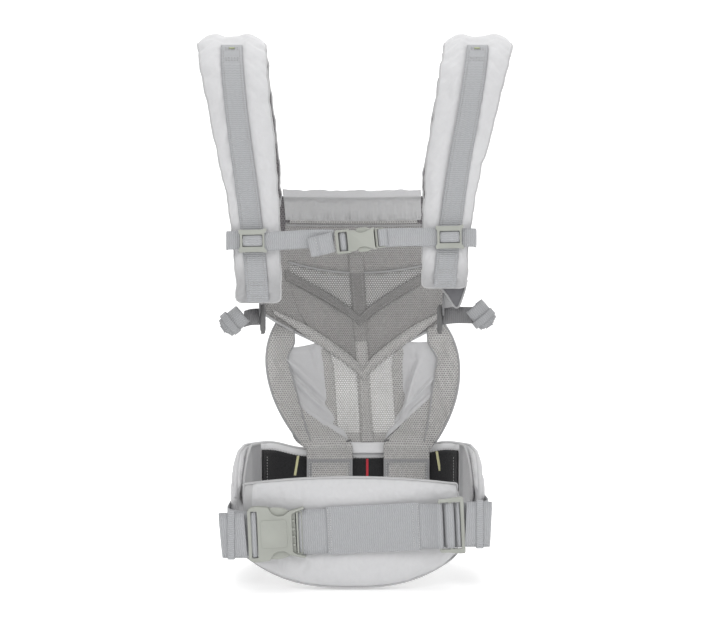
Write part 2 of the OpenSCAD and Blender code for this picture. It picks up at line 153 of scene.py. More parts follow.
class Nodes:
    """A new material, with short calls for building its nodes."""

    def __init__(self, name):
        self.material = bpy.data.materials.new(name)
        self.material.use_nodes = True
        self.tree = self.material.node_tree
        self.shader = self.tree.nodes["Principled BSDF"]

    def feed(self, socket, value):
        """Links a socket to a node's output, or sets the socket's own value."""
        if isinstance(value, bpy.types.NodeSocket):
            self.tree.links.new(value, socket)
        else:
            socket.default_value = value

    def add(self, kind, inputs=(), **settings):
        """The outputs of a new node; inputs holds (index or name, value) pairs."""
        node = self.tree.nodes.new(kind)
        for key, value in settings.items():
            setattr(node, key, value)
        for key, value in inputs:
            self.feed(node.inputs[key], value)
        return node.outputs

    def set(self, **values):
        """Feeds the shader's inputs; an underscore stands for a space in a name."""
        for key, value in values.items():
            self.feed(self.shader.inputs[key.replace("_", " ")], value)

    def math(self, operation, *values):
        return self.add("ShaderNodeMath", enumerate(values), operation=operation)[0]

    def around(self, value, amount, base):
        """base, varied by value's distance from a half."""
        return self.math("MULTIPLY_ADD", self.math("SUBTRACT", value, 0.5), amount, base)

    def ridges(self, value, pitch):
        """0 to 1 ridges across a length in metres."""
        turn = self.math("MULTIPLY", value, math.tau / pitch)
        return self.math("MULTIPLY_ADD", self.math("SINE", turn), 0.5, 0.5)

    def smooth_range(self, value, low, high, to_low=0.0):
        """to_low to 1 as value goes from low to high."""
        inputs = (("Value", value), ("From Min", low), ("From Max", high), ("To Min", to_low))
        return self.add("ShaderNodeMapRange", inputs, interpolation_type="SMOOTHSTEP")[0]

    def split(self, kind="UV"):
        """The x, y and z of a kind of coordinates."""
        return self.add("ShaderNodeSeparateXYZ", [(0, self.add("ShaderNodeTexCoord")[kind])])

    def noise(self, scale, detail, roughness=0.5):
        inputs = (("Scale", scale), ("Detail", detail), ("Roughness", roughness),
                  ("Vector", self.add("ShaderNodeTexCoord")["Object"]))
        return self.add("ShaderNodeTexNoise", inputs)["Fac"]

    def paint(self, value, colour, low, high):
        """Goes from a darker to a lighter shade of colour; low and high are (value, factor) pairs."""
        output = self.add("ShaderNodeValToRGB", [(0, value)])["Color"]
        for element, (position, factor) in zip(output.node.color_ramp.elements, (low, high)):
            element.position = position
            element.color = (*(clamp(c * factor) for c in colour), 1)
        return output

    def bump(self, height, strength, distance, *normal):
        """A bump of a distance in metres, on top of another one's normal if that is given."""
        inputs = [("Strength", strength), ("Distance", distance), ("Height", height)]
        return self.add("ShaderNodeBump", inputs + [("Normal", below) for below in normal])["Normal"]


def fabric(name, roughness=0.85, sheen=0.35):
    """Matt cloth that has no colour or weave yet."""
    n = Nodes(name)
    n.set(Roughness=roughness, Sheen_Weight=sheen, Sheen_Roughness=0.5, Specular_IOR_Level=0.25)
    return n


def woven(name, colour, pitch=0.0011, contrast=0.07, painted_shade_below=None):
    """Plain woven cloth: crossing yarns, slight slubs and soft blotches.

    The last argument is a height below which, over 42 mm, the cloth darkens downwards: painted shade.
    """
    n = fabric(name)
    x, y = n.split()[:2]
    weave = n.math("MULTIPLY", n.ridges(x, pitch), n.ridges(y, pitch))
    slub = n.noise(260.0, 2.0)
    tone = n.math("MULTIPLY_ADD", weave, contrast, 0.5 - contrast / 2)
    tone = n.around(n.noise(18.0, 4.0), 0.05, n.around(slub, 0.12, tone))
    base = n.paint(tone, colour, (0.25, 0.82), (0.75, 1.1))
    # Painted shade: the colour darkens downwards below the given height.
    if painted_shade_below:
        level = n.smooth_range(n.split("Object")[2], painted_shade_below - 42 * MM, painted_shade_below, 0.66)
        base = n.add("ShaderNodeVectorMath", ((0, base), ("Scale", level)), operation="SCALE")[0]
    height = n.math("MULTIPLY_ADD", slub, 0.5, weave)
    creases = n.bump(n.noise(60.0, 5.0), 0.12, 0.0012)
    n.set(Base_Color=base, Normal=n.bump(height, 0.35, 0.0003, creases))
    return n.material


def webbing_material(name, colour):
    """Ribbed webbing: fine ribs across its length and a herringbone drift; u runs across."""
    n = fabric(name, 0.7, 0.25)
    x, y = n.split()[:2]
    zigzag = n.math("PINGPONG", x, 0.0028)
    ribs = n.ridges(n.math("MULTIPLY_ADD", zigzag, 0.25, y), 0.0023)
    cords = n.ridges(x, 0.0014)
    tone = n.math("MULTIPLY_ADD", ribs, 0.34, n.math("MULTIPLY_ADD", cords, 0.08, 0.22))
    tone = n.around(n.noise(300.0, 2.0), 0.2, tone)
    height = n.math("MULTIPLY_ADD", cords, 0.35, ribs)
    n.set(Base_Color=n.paint(tone, colour, (0.1, 0.78), (0.8, 1.14)), Normal=n.bump(height, 0.7, 0.0005))
    return n.material


def mesh_material(name, thread, hole, pitch, hole_size=0.42, painted_glow=0.0):
    """Knitted spacer mesh: staggered rounded holes between raised threads."""
    n = fabric(name, 0.8, 0.2)
    x, y = n.split()[:2]
    row = n.math("MULTIPLY", y, 1 / (pitch * 0.8))
    odd = n.math("MULTIPLY", n.math("MODULO", n.math("FLOOR", row), 2.0), 0.5)
    column = n.math("ADD", n.math("MULTIPLY", x, 1 / pitch), odd)
    cx, cy = (n.math("SUBTRACT", n.math("FRACT", k), 0.5) for k in (column, row))
    distance = n.math("SQRT", n.math("ADD", n.math("MULTIPLY", cx, cx), n.math("MULTIPLY", cy, cy)))
    is_open = n.smooth_range(distance, hole_size, hole_size * 0.5)
    slub = n.noise(400.0, 2.0)
    threads = n.paint(slub, thread, (0.3, 0.86), (0.7, 1.1))
    holes = n.paint(n.noise(14.0, 3.0), hole, (0.3, 0.8), (0.7, 1.2))
    # A Mix node's colours go in at 6 and 7 and come out at 2.
    colour = n.add("ShaderNodeMix", ((0, is_open), (6, threads), (7, holes)), data_type="RGBA")[2]
    height = n.math("SUBTRACT", n.math("MULTIPLY", slub, 0.3), is_open)
    n.set(Base_Color=colour, Normal=n.bump(height, 0.8, 0.0009))
    # The open holes glow a little: painted light for the light seen through the mesh.
    if painted_glow:
        n.set(Emission_Color=colour, Emission_Strength=n.math("MULTIPLY", is_open, painted_glow))
    return n.material


def plastic_material(name, colour):
    """Moulded acetal: faint grain, slow tone drift, slightly paler outer edges and painted shade in inner
    corners, both by curvature.
    """
    n = Nodes(name)
    edge = n.add("ShaderNodeNewGeometry")["Pointiness"]
    tone = n.around(edge, 2.2, n.noise(25.0, 3.0))
    n.set(Base_Color=n.paint(tone, colour, (0.3, 0.9), (0.75, 1.12)),
          Roughness=n.math("MULTIPLY_ADD", n.noise(90.0, 4.0), 0.18, 0.33),
          Normal=n.bump(n.noise(1400.0, 2.0), 0.12, 0.0001), Specular_IOR_Level=0.45)
    return n.material


def pile_material(name, colour):
    """Loop pile: a dense fuzz of tiny loops."""
    n = fabric(name, 0.95, 0.5)
    fuzz = n.noise(900.0, 4.0, roughness=0.7)
    n.set(Base_Color=n.paint(fuzz, colour, (0.3, 0.5), (0.7, 2.2)), Normal=n.bump(fuzz, 0.9, 0.0008))
    return n.material


CLOTH = woven("pale_cloth", (0.60, 0.60, 0.61))
CLOTH_WARM = woven("lining_cloth", (0.48, 0.48, 0.485), 0.0012, 0.08)
# Dim cloth: the tab borders' own tape colour, and painted shade on the side pads inside the belt.
CLOTH_DIM = woven("dim_tape_and_painted_shade_cloth", (0.36, 0.36, 0.37), 0.0012, 0.08)
# Painted shade for the gusset under the right strap's foot.
CLOTH_DARK = woven("shaded_cloth", (0.15, 0.15, 0.16), 0.0012, 0.08)
# Strap cloth that darkens towards the strap's foot: painted shade.
STRAP_CLOTH = woven("strap_cloth", (0.60, 0.60, 0.61), painted_shade_below=0.368)
BINDING = woven("binding_tape", (0.36, 0.36, 0.365), 0.0014, 0.12)
# A lighter copy of the pale cloth: painted light on the belt's inner top band and on the panel's foot, both
# in shade.
CLOTH_PAINTED_LIGHT = woven("painted_light_cloth", (0.80, 0.80, 0.81))
WEBBING = webbing_material("grey_webbing", (0.385, 0.392, 0.406))
# A darker copy of the grey webbing: painted shade on the webbing rolls.
ROLL_WEBBING_PAINTED_SHADE = webbing_material("rolled_webbing_painted_shade", (0.325, 0.33, 0.34))
DARK_WEBBING = webbing_material("shaded_webbing", (0.19, 0.19, 0.195))
THREAD = woven("thread", (0.62, 0.62, 0.62), 0.0008, 0.2)
THREAD_DIM = woven("mesh_thread", (0.40, 0.395, 0.39), 0.0008, 0.2)
THREAD_GREEN = woven("pale_green_thread", (0.42, 0.46, 0.27), 0.0008, 0.2)
MESH_FINE = mesh_material("fine_mesh", (0.38, 0.372, 0.366), (0.22, 0.215, 0.21), 0.0027)
MESH_PALE = mesh_material("pale_mesh", (0.56, 0.55, 0.54), (0.30, 0.295, 0.29), 0.0030)
# The last number lets the open holes glow: painted light.
MESH_OPEN = mesh_material("open_mesh", (0.29, 0.285, 0.28), (0.62, 0.62, 0.62), 0.0030, 0.38, 0.04)
MESH_LIGHT = mesh_material("light_open_mesh", (0.55, 0.54, 0.53), (0.86, 0.86, 0.86), 0.0030, 0.42, 0.10)
MESH_BAND = mesh_material("band_mesh", (0.30, 0.295, 0.292), (0.17, 0.165, 0.16), 0.0022)
MESH_DARK = mesh_material("strap_mesh", (0.19, 0.18, 0.185), (0.09, 0.085, 0.09), 0.0034)
PLASTIC = plastic_material("sage_plastic", (0.325, 0.335, 0.305))
PLASTIC_DARK = plastic_material("shaded_plastic", (0.12, 0.12, 0.12))
PILE = pile_material("black_pile", (0.012, 0.012, 0.013))
RED_TAPE = woven("red_tape", (0.55, 0.04, 0.06), 0.0012, 0.15)
CREAM_TAPE = woven("cream_tape", (0.66, 0.64, 0.38), 0.0012, 0.15)


# ---------------------------------------------------------------- mesh building

def smooth_object(name, mesh):
    """A smooth shaded object of a mesh, in the scene."""
    mesh.polygons.foreach_set("use_smooth", [True] * len(mesh.polygons))
    obj = bpy.data.objects.new(name, mesh)
    bpy.context.scene.collection.objects.link(obj)
    return obj


def new_mesh(name, points, faces, uvs, materials, face_material=None):
    """A mesh object. uvs holds one pair per point, in metres."""
    mesh = bpy.data.meshes.new(name)
    mesh.from_pydata([tuple(p) for p in points], [], faces)
    layer = mesh.uv_layers.new(name="UVMap")
    loop_points = np.zeros(len(mesh.loops), int)
    mesh.loops.foreach_get("vertex_index", loop_points)
    layer.data.foreach_set("uv", np.asarray(uvs, float)[loop_points].ravel())
    for material in materials:
        mesh.materials.append(material)
    if face_material is not None:
        mesh.polygons.foreach_set("material_index", face_material)
    mesh.update()
    return smooth_object(name, mesh)


def grid_normals(points):
    """Unit normals of an (nv, nu, 3) grid; u to the right and v up gives normals to the viewer."""
    du = np.gradient(points, axis=1)
    dv = np.gradient(points, axis=0)
    normals = np.cross(du, dv)
    return normals / np.maximum(np.linalg.norm(normals, axis=2, keepdims=True), 1e-12)


def grid_lengths(points):
    """Length along u, from the middle column, and along v for every point of a grid, in metres."""
    u = np.zeros(points.shape[:2])
    v = np.zeros(points.shape[:2])
    u[:, 1:] = np.cumsum(np.linalg.norm(np.diff(points, axis=1), axis=2), axis=1)
    v[1:, :] = np.cumsum(np.linalg.norm(np.diff(points, axis=0), axis=2), axis=0)
    middle = u[:, u.shape[1] // 2][:, None]
    return np.stack([u - middle, v], 2)


def slab(name, points, front, back, materials, back_material=0, cells=None, flat=False):
    """A closed slab around an (nv, nu, 3) grid of points.

    front and back are how far each face stands from the grid, as numbers or (nv, nu) arrays.
    cells holds a material index for each cell of the front face. flat takes the weave's
    coordinates straight from x and z, so that a mesh stays even over a shaped piece.
    """
    nv, nu = points.shape[:2]
    normals = grid_normals(points)
    lift = np.broadcast_to(np.asarray(front, float), (nv, nu))[..., None]
    drop = np.broadcast_to(np.asarray(back, float), (nv, nu))[..., None]
    near = (points + normals * lift).reshape(-1, 3)
    far = (points - normals * drop).reshape(-1, 3)
    index = np.arange(nv * nu).reshape(nv, nu)
    half = nv * nu
    a, b = index[:-1, :-1].ravel(), index[:-1, 1:].ravel()
    c, d = index[1:, 1:].ravel(), index[1:, :-1].ravel()
    faces = [tuple(f) for f in np.stack([a, b, c, d], 1)]
    faces += [tuple(f) for f in np.stack([d, c, b, a], 1) + half]
    rim = np.concatenate([index[0, :], index[1:, -1], index[-1, -2::-1], index[-2:0:-1, 0]])
    for i, j in zip(rim, np.roll(rim, -1)):
        faces.append((j, i, i + half, j + half))
    count = len(a)
    face_cells = [0] * count if cells is None else [int(c) for c in np.asarray(cells).ravel()]
    which = face_cells + [back_material] * count + [0] * len(rim)
    uv = (points[..., [0, 2]] if flat else grid_lengths(points)).reshape(-1, 2)
    return new_mesh(name, np.concatenate([near, far]), faces, np.concatenate([uv, uv]), materials, which)


def surface(f, nu, nv):
    """An (nv + 1, nu + 1, 3) grid of f(u, v)."""
    return np.array([[f(i / nu, j / nv) for i in range(nu + 1)] for j in range(nv + 1)], float)


def rounded_edge(nu, nv, thick, power=4, floor=0.3):
    """Thickness that falls off towards a grid's edges, so that a slab looks sewn and soft."""
    u = np.abs(np.linspace(-1, 1, nu + 1)) ** power
    v = np.abs(np.linspace(-1, 1, nv + 1)) ** power
    fall = np.maximum(u[None, :], v[:, None])
    return thick * (1 - (1 - floor) * fall)


def ribbon(name, path, across, width, thick, material):
    """Flat webbing along a path of points. across gives the width direction at each point."""
    path = np.asarray(path, float)
    across = np.broadcast_to(np.asarray(across, float), path.shape)
    steps = np.linspace(-0.5, 0.5, 7)
    points = path[:, None, :] + across[:, None, :] * (steps * width)[None, :, None]
    half = thick / 2 * (1 - 0.45 * np.abs(steps * 2) ** 6)[None, :]
    return slab(name, points, half, half, [material])


def smooth_path(points, count):
    """Catmull-Rom through the points, resampled to even spacing."""
    p = np.asarray(points, float)
    p = np.concatenate([[2 * p[0] - p[1]], p, [2 * p[-1] - p[-2]]])
    fine = []
    for i in range(1, len(p) - 2):
        for t in np.linspace(0, 1, 16, endpoint=False):
            fine.append(0.5 * (2 * p[i] + (p[i + 1] - p[i - 1]) * t
                               + (2 * p[i - 1] - 5 * p[i] + 4 * p[i + 1] - p[i + 2]) * t ** 2
                               + (3 * p[i] - 3 * p[i + 1] + p[i + 2] - p[i - 1]) * t ** 3))
    return respaced(np.array(fine + [p[-2]]), count)


CORD_SIDES = 8


def cord(name, points, radius, material, body, slot):
    """A round cord or piping along a path, closed at its ends, on a body."""
    points = np.asarray(points, float)
    tangents = np.gradient(points, axis=0)
    tangents /= np.maximum(np.linalg.norm(tangents, axis=1, keepdims=True), 1e-12)
    side = np.cross(tangents[0], [0.31, 0.87, 0.12])
    rings, uvs = [], []
    length = 0.0
    for i, (p, t) in enumerate(zip(points, tangents)):
        side = unit(side - t * (side @ t))
        up = np.cross(t, side)
        length += np.linalg.norm(points[i] - points[i - 1]) if i else 0.0
        for k in range(CORD_SIDES):
            a = math.tau * k / CORD_SIDES
            rings.append(p + radius * (math.cos(a) * side + math.sin(a) * up))
            uvs.append((radius * a, length))
    last = (len(points) - 1) * CORD_SIDES
    corners = [(k, (k + 1) % CORD_SIDES) for k in range(CORD_SIDES)]
    faces = [(i + k, i + j, i + CORD_SIDES + j, i + CORD_SIDES + k)
             for i in range(0, last, CORD_SIDES) for k, j in corners]
    faces += [tuple(reversed(range(CORD_SIDES))), tuple(last + k for k in range(CORD_SIDES))]
    place(new_mesh(name, rings, faces, uvs, [material]), body, slot)


def stitch_row(path, normal, pitch=0.0032, length=0.0022, radius=0.00035):
    """Points and faces of a row of stitches lying on a surface."""
    path = np.asarray(path, float)
    normal = np.broadcast_to(np.asarray(normal, float), path.shape)
    lengths = arc_lengths(path)
    points, faces = [], []
    for start in np.arange(pitch / 2, lengths[-1] - length, pitch):
        ends = [np.array([np.interp(s, lengths, path[:, k]) for k in range(3)])
                for s in (start, start + length)]
        n = unit([np.interp(start, lengths, normal[:, k]) for k in range(3)])
        along = unit(ends[1] - ends[0])
        side = np.cross(along, n)
        base = len(points)
        middle = (ends[0] + ends[1]) / 2
        ring = [side * radius, n * radius * 1.3, -side * radius, -n * radius]
        points.append(ends[0])
        for centre in (mix(ends[0], middle, 0.5), mix(middle, ends[1], 0.5)):
            points.extend(centre + r for r in ring)
        points.append(ends[1])
        for k in range(4):
            j = (k + 1) % 4
            faces.append((base, base + 1 + j, base + 1 + k))
            faces.append((base + 1 + k, base + 1 + j, base + 5 + j, base + 5 + k))
            faces.append((base + 9, base + 5 + k, base + 5 + j))
    return points, faces


def stitches(name, rows, body, slot, material=THREAD, **sizes):
    """One object on a body for several rows, each a (path, normal) pair."""
    points, faces = [], []
    for path, normal in rows:
        row_points, row_faces = stitch_row(path, normal, **sizes)
        faces.extend(tuple(i + len(points) for i in f) for f in row_faces)
        points.extend(row_points)
    points = np.array(points)
    place(new_mesh(name, points, faces, points[:, [0, 2]], [material]), body, slot)


def place(obj, body, slot, *nodes):
    """Rides obj on a body and hides the CAD nodes it stands for."""
    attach(obj, body)
    if nodes:
        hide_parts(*nodes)
    return obj


def tape(name, path, across, width, thick, material, body, *nodes):
    """A ribbon placed on its body."""
    place(ribbon(name, path, across, width, thick, material), body, "webbing", *nodes)


def join(obj, a, b, start, end, slot, *nodes):
    """Bakes obj's placement into its mesh and hides the CAD nodes it stands for."""
    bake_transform(obj)
    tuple(start)
    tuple(end)
    if nodes:
        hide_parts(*nodes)


def subdivide(obj):
    """One level of subdivision, in the view and in the render."""
    modifier = obj.modifiers.new("subdivision", "SUBSURF")
    modifier.levels = modifier.render_levels = 1


# ---------------------------------------------------------------- cloth

CLOTH_FRAMES = 20
CLOTH_STIFFNESS = 8.0


def puff(obj, pinned, pressure, cap, shrink):
    """Inflates a closed mesh as cloth around its pinned points, then keeps the result.

    No point moves further than cap. shrink is the cloth's slack, as a part of its size.
    """
    rest = np.array([v.co for v in obj.data.vertices])
    group = obj.vertex_groups.new(name="pin")
    group.add([int(i) for i in np.nonzero(pinned)[0]], 1.0, "REPLACE")
    cloth = obj.modifiers.new("cloth", "CLOTH")
    settings = cloth.settings
    settings.quality = 5
    settings.mass = 0.25
    settings.tension_stiffness = settings.compression_stiffness = CLOTH_STIFFNESS
    settings.shear_stiffness = CLOTH_STIFFNESS / 2
    settings.bending_stiffness = 0.05
    settings.vertex_group_mass = "pin"
    settings.shrink_min = shrink
    settings.use_pressure = True
    settings.uniform_pressure_force = pressure
    settings.effector_weights.gravity = 0
    cloth.collision_settings.use_self_collision = False
    cloth.point_cache.frame_start = 1
    cloth.point_cache.frame_end = CLOTH_FRAMES
    scene = bpy.context.scene
    for f in range(1, CLOTH_FRAMES + 1):
        scene.frame_set(f)
    evaluated = obj.evaluated_get(bpy.context.evaluated_depsgraph_get())
    moved = np.array([v.co for v in evaluated.data.vertices])
    obj.modifiers.remove(cloth)
    scene.frame_set(1)
    shift = moved - rest
    size = np.linalg.norm(shift, axis=1, keepdims=True)
    shift *= np.minimum(1.0, cap / np.maximum(size, 1e-9))
    obj.data.vertices.foreach_set("co", (rest + shift).ravel())
    obj.data.update()


# ---------------------------------------------------------------- shoulder straps

class Strap:
    """The strap's centre line, worked out from its CAD box: v runs from its foot over the shoulder."""

    THICK = 16 * MM
    FOOT_HALF_W = 25.5 * MM
    FLARE = 13 * MM
    ARCH_X = 125 * MM
    FOOT_V, ARCH_V = 0.3, 0.88
    SPRING_DROP = 139 * MM
    END_RISE = 45 * MM

    def __init__(self, side_name):
        self.name = side_name
        self.side = SIDES[side_name]
        low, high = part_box(f"{side_name}_strap_cover")
        self.foot_x = min(abs(corner.x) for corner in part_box(f"{side_name}_side_webbing")) + 0.8 * MM
        self.foot_y = low.y + self.THICK / 2
        self.end_y = high.y - self.THICK / 2
        self.foot_z = low.z
        self.top_z = high.z - self.THICK / 2
        self.spring_z = self.top_z - self.SPRING_DROP
        self.mid_y = (self.foot_y + self.end_y) / 2
        self.half_d = (self.end_y - self.foot_y) / 2 - 6 * MM

    def angle(self, v):
        return math.pi * clamp((v - self.FOOT_V) / (self.ARCH_V - self.FOOT_V))

    def yz(self, v):
        a = self.angle(v)
        if v < self.FOOT_V:
            k = v / self.FOOT_V
            return np.array([mix(self.foot_y, self.mid_y - self.half_d, k),
                             mix(self.foot_z, self.spring_z, k)])
        if v < self.ARCH_V:
            return np.array([self.mid_y - self.half_d * math.cos(a),
                             self.spring_z + (self.top_z - self.spring_z) * math.sin(a)])
        k = (v - self.ARCH_V) / (1 - self.ARCH_V)
        return np.array([mix(self.mid_y + self.half_d, self.end_y, k),
                         mix(self.spring_z, self.spring_z - self.END_RISE, k)])

    def taper(self, v):
        """How much the strap has narrowed, from its outer side, towards its seam with the panel."""
        return 12 * MM * clamp((v - 0.8) / 0.2) ** 2

    def centre_x(self, v):
        a = self.angle(v)
        flare = min(v / self.FOOT_V, 1) ** 2
        return (self.foot_x + self.FLARE * flare + (self.ARCH_X - self.foot_x) * math.sin(a)
                + 8 * MM * a / math.pi - self.taper(v))

    def half_w(self, v):
        a = self.angle(v)
        return (self.FOOT_HALF_W + 7 * MM * min(v / self.FOOT_V, 1) ** 2
                + 7.5 * MM * math.sin(min(a, math.pi / 2))
                - 4 * MM * max(a - math.pi / 2, 0) / (math.pi / 2) - self.taper(v))

    def inward(self, v):
        e = 0.005
        d = self.yz(min(v + e, 1)) - self.yz(max(v - e, 0))
        d /= np.linalg.norm(d)
        return np.array([0, d[1], -d[0]])

    def point(self, v, dx=0.0, lift=0.0):
        y, z = self.yz(v)
        return np.array([self.side * self.centre_x(v) + dx, y, z]) - lift * self.inward(v)


WEB_END_V = 0.5
CHANNEL_END_V = 0.53


def build_strap(strap):
    """The padded strap: cloth outside with a channel under its webbing, dark mesh inside."""
    nu, nv = 24, 158
    outer_bow = strap.side * 5 * MM
    levels = np.concatenate([np.linspace(0, 0.016, 11)[:-1], np.linspace(0.016, 1, nv - 9)])

    def pad_point(s, v):
        scallop = 0.7 * MM * wave(v * 44, 3 + strap.side) + 0.9 * MM * wave(v * 19, 8 - s)
        corner = 6 * MM * (1 - math.sqrt(1 - clamp(1 - v / 0.01) ** 2))
        half = strap.half_w(v) - 1.5 * MM + scallop * abs(s) ** 4 * clamp(v / 0.03) - corner
        return strap.point(v, s * half, 1.2 * MM * (wave(v * 26, 4 + s) * abs(s) ** 3) * clamp(v / 0.03))

    s = np.linspace(-1, 1, nu + 1)[None, :]
    v = levels[:, None]
    points = np.array([[pad_point(a, b) for a in s[0]] for b in levels])
    crown = 1 - 0.86 * np.abs(s) ** 5
    ends = np.clip(np.minimum(v, 1 - v) / 0.022, 0.12, 1) ** 0.5
    shoulder = dent(v, 0.6, 0.09)
    groove = 0.34 * (v < CHANNEL_END_V) + 0.3 * shoulder
    channel = 1 - groove * np.exp(-(s / mix(0.42, 0.3, shoulder)) ** 4)
    wrinkles = np.array([[0.9 * MM * wave(b * 52 + 3 * abs(a), 1.0 + np.sign(a))
                          * (0.5 + 1.5 * clamp(1 - b / 0.14)) for a in s[0]] for b in levels])
    thick = strap.THICK / 2 * ends
    front = thick * crown * channel * (1 + 0.28 * shoulder * dent(np.abs(s), 0.5, 0.25))
    front = front + wrinkles * dent(np.abs(s), 0.66, 0.2) * (ends > 0.9)
    pad = slab(f"{strap.name}_strap_pad", points, front, thick * crown * 0.96, [STRAP_CLOTH, MESH_DARK], 1)
    column, row, rim = grid_index(nu, nv)
    under_webbing = (np.abs(column / nu * 2 - 1) < 0.36) & (levels[row] < CHANNEL_END_V)
    puff(pad, np.concatenate([rim | under_webbing, rim]), pressure=3.0, cap=4 * MM, shrink=-0.03)
    subdivide(pad)
    body = f"{strap.name}_strap"
    place(pad, body, "padded_fabric", f"{body}_cover", f"{body}_foam")

    rim_line = np.concatenate([points[::-1, 0], points[0, 1:-1], points[:, -1]])
    cord(f"{body}_piping", smooth_path(rim_line, 420), 1.2 * MM, CLOTH_WARM, body, "padded_fabric")

    crown_lift = strap.THICK / 2 * 0.8

    def web_point(u, v):
        lift = crown_lift + 1.6 * MM + 0.25 * MM * wave(v * 30, 2.0)
        dx = (u - 0.5) * 24 * MM + outer_bow * math.sin(math.pi * v)
        return strap.point(v * WEB_END_V, dx, lift)

    web_points = surface(web_point, 8, 90)
    web = slab(f"{body}_webbing_band", web_points, 0.8 * MM, 0.8 * MM, [WEBBING])
    place(web, body, "webbing", f"{body}_webbing")

    normals = grid_normals(web_points)
    top = web_points + normals * 1.0 * MM
    rows = [(top[2:-2, 1], normals[2:-2, 1]), (top[2:-2, -2], normals[2:-2, -2])]
    for j in (1, 2, 6, 7, 82, 83, 87, 88):
        rows.append((top[j, 1:-1], normals[j, 1:-1]))
    stitches(f"{body}_stitching", rows, body, "webbing", THREAD_DIM)
    tack = [strap.point(0.487, dx * MM, crown_lift + 3.2 * MM) for dx in np.linspace(-3, 3, 7)]
    cord(f"{body}_bartack", tack, 0.9 * MM, THREAD_GREEN, body, "webbing")


straps = {name: Strap(name) for name in SIDES}
for strap in straps.values():
    build_strap(strap)


# ---------------------------------------------------------------- body panel

class Panel:
    """The hanging panel's surface, worked out from the CAD boxes of its own pieces."""

    SLOPE = 0.0625
    BOW = 26 * MM
    CURVE = 2.0
    WIDEST_Z = 237 * MM

    def __init__(self):
        low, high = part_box("body_panel")
        self.low_z, self.fold_z = low.z, high.z
        self.top_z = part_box("head_support")[1].z
        self.deep_y = high.y - 1.5 * MM
        self.seat_half = (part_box("right_seat_side")[1].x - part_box("left_seat_side")[0].x) / 2

    def lean(self, z):
        """How far the centre line is to the right of the frame's, as the panel hangs askew."""
        return (self.top_z - z) * self.SLOPE - 4 * MM

    def half_w(self, z):
        """Half the width of the centre panel."""
        return mix(50 * MM, 85 * MM, smooth((z - 232 * MM) / (104 * MM)))

    def seat_w(self, z):
        """Half the width of the whole seat, with its padded sides."""
        d = z - self.WIDEST_Z
        return self.seat_half - (37 * MM * (d / (98 * MM)) ** 2 if d < 0 else 15 * MM * (d / (51 * MM)) ** 2)

    def bolster_in(self, z):
        """How far a padded side's inner edge is from the centre line."""
        k = clamp((z - 135 * MM) / (148 * MM))
        wide = 12 * MM + 19 * MM * math.sin(math.pi * k) + 13 * MM * smooth((z - 240 * MM) / (26 * MM))
        return self.seat_w(z) - wide

    def at(self, x, z, lift=0.0):
        """The point of the surface at x and z, raised towards the viewer by lift."""
        dx = x - self.lean(z)
        bow = self.BOW * (1 - math.sin(math.pi * clamp((z - 115 * MM) / (340 * MM))))
        return np.array([x, self.deep_y - bow - self.CURVE * dx * dx - lift, z])

    def off(self, dx, z, lift=0.0):
        """The same, at dx from the panel's centre line."""
        return self.at(self.lean(z) + dx, z, lift)


panel = Panel()
# Height of a V's apex, how much its arms rise, and over which distance.
UPPER_V = (288 * MM, 58 * MM, 88 * MM)
LOWER_V = (222 * MM, 66 * MM, 85 * MM)


def v_height(v, dx):
    """Height of a V band's middle at dx from the panel's centre line."""
    apex, rise, reach = v
    return apex + rise * (abs(dx) / reach) ** 0.8


def yoke_seam(dx):
    """Height of the curved seam where the fine mesh meets the open mesh."""
    left = 15 * MM * clamp(-dx / (90 * MM)) ** 2
    right = 8 * MM * clamp(dx / (80 * MM)) ** 2
    return 349 * MM + left + right


def side_strip(z):
    """Where the fine mesh side strips meet the open mesh, as a part of the half width."""
    return 0.72 + 0.08 * smooth((z - 200 * MM) / (100 * MM))


PANEL_MATERIALS = [MESH_FINE, MESH_OPEN, MESH_LIGHT, MESH_PALE]
FINE_CELL, OPEN_CELL, LIGHT_CELL, PALE_CELL = range(4)
# Rows of cells in each part of the panel, from its foot up, and what the part is made of.
PANEL_PARTS = ((8, PALE_CELL), (26, LIGHT_CELL), (20, FINE_CELL), (16, OPEN_CELL), (14, FINE_CELL))


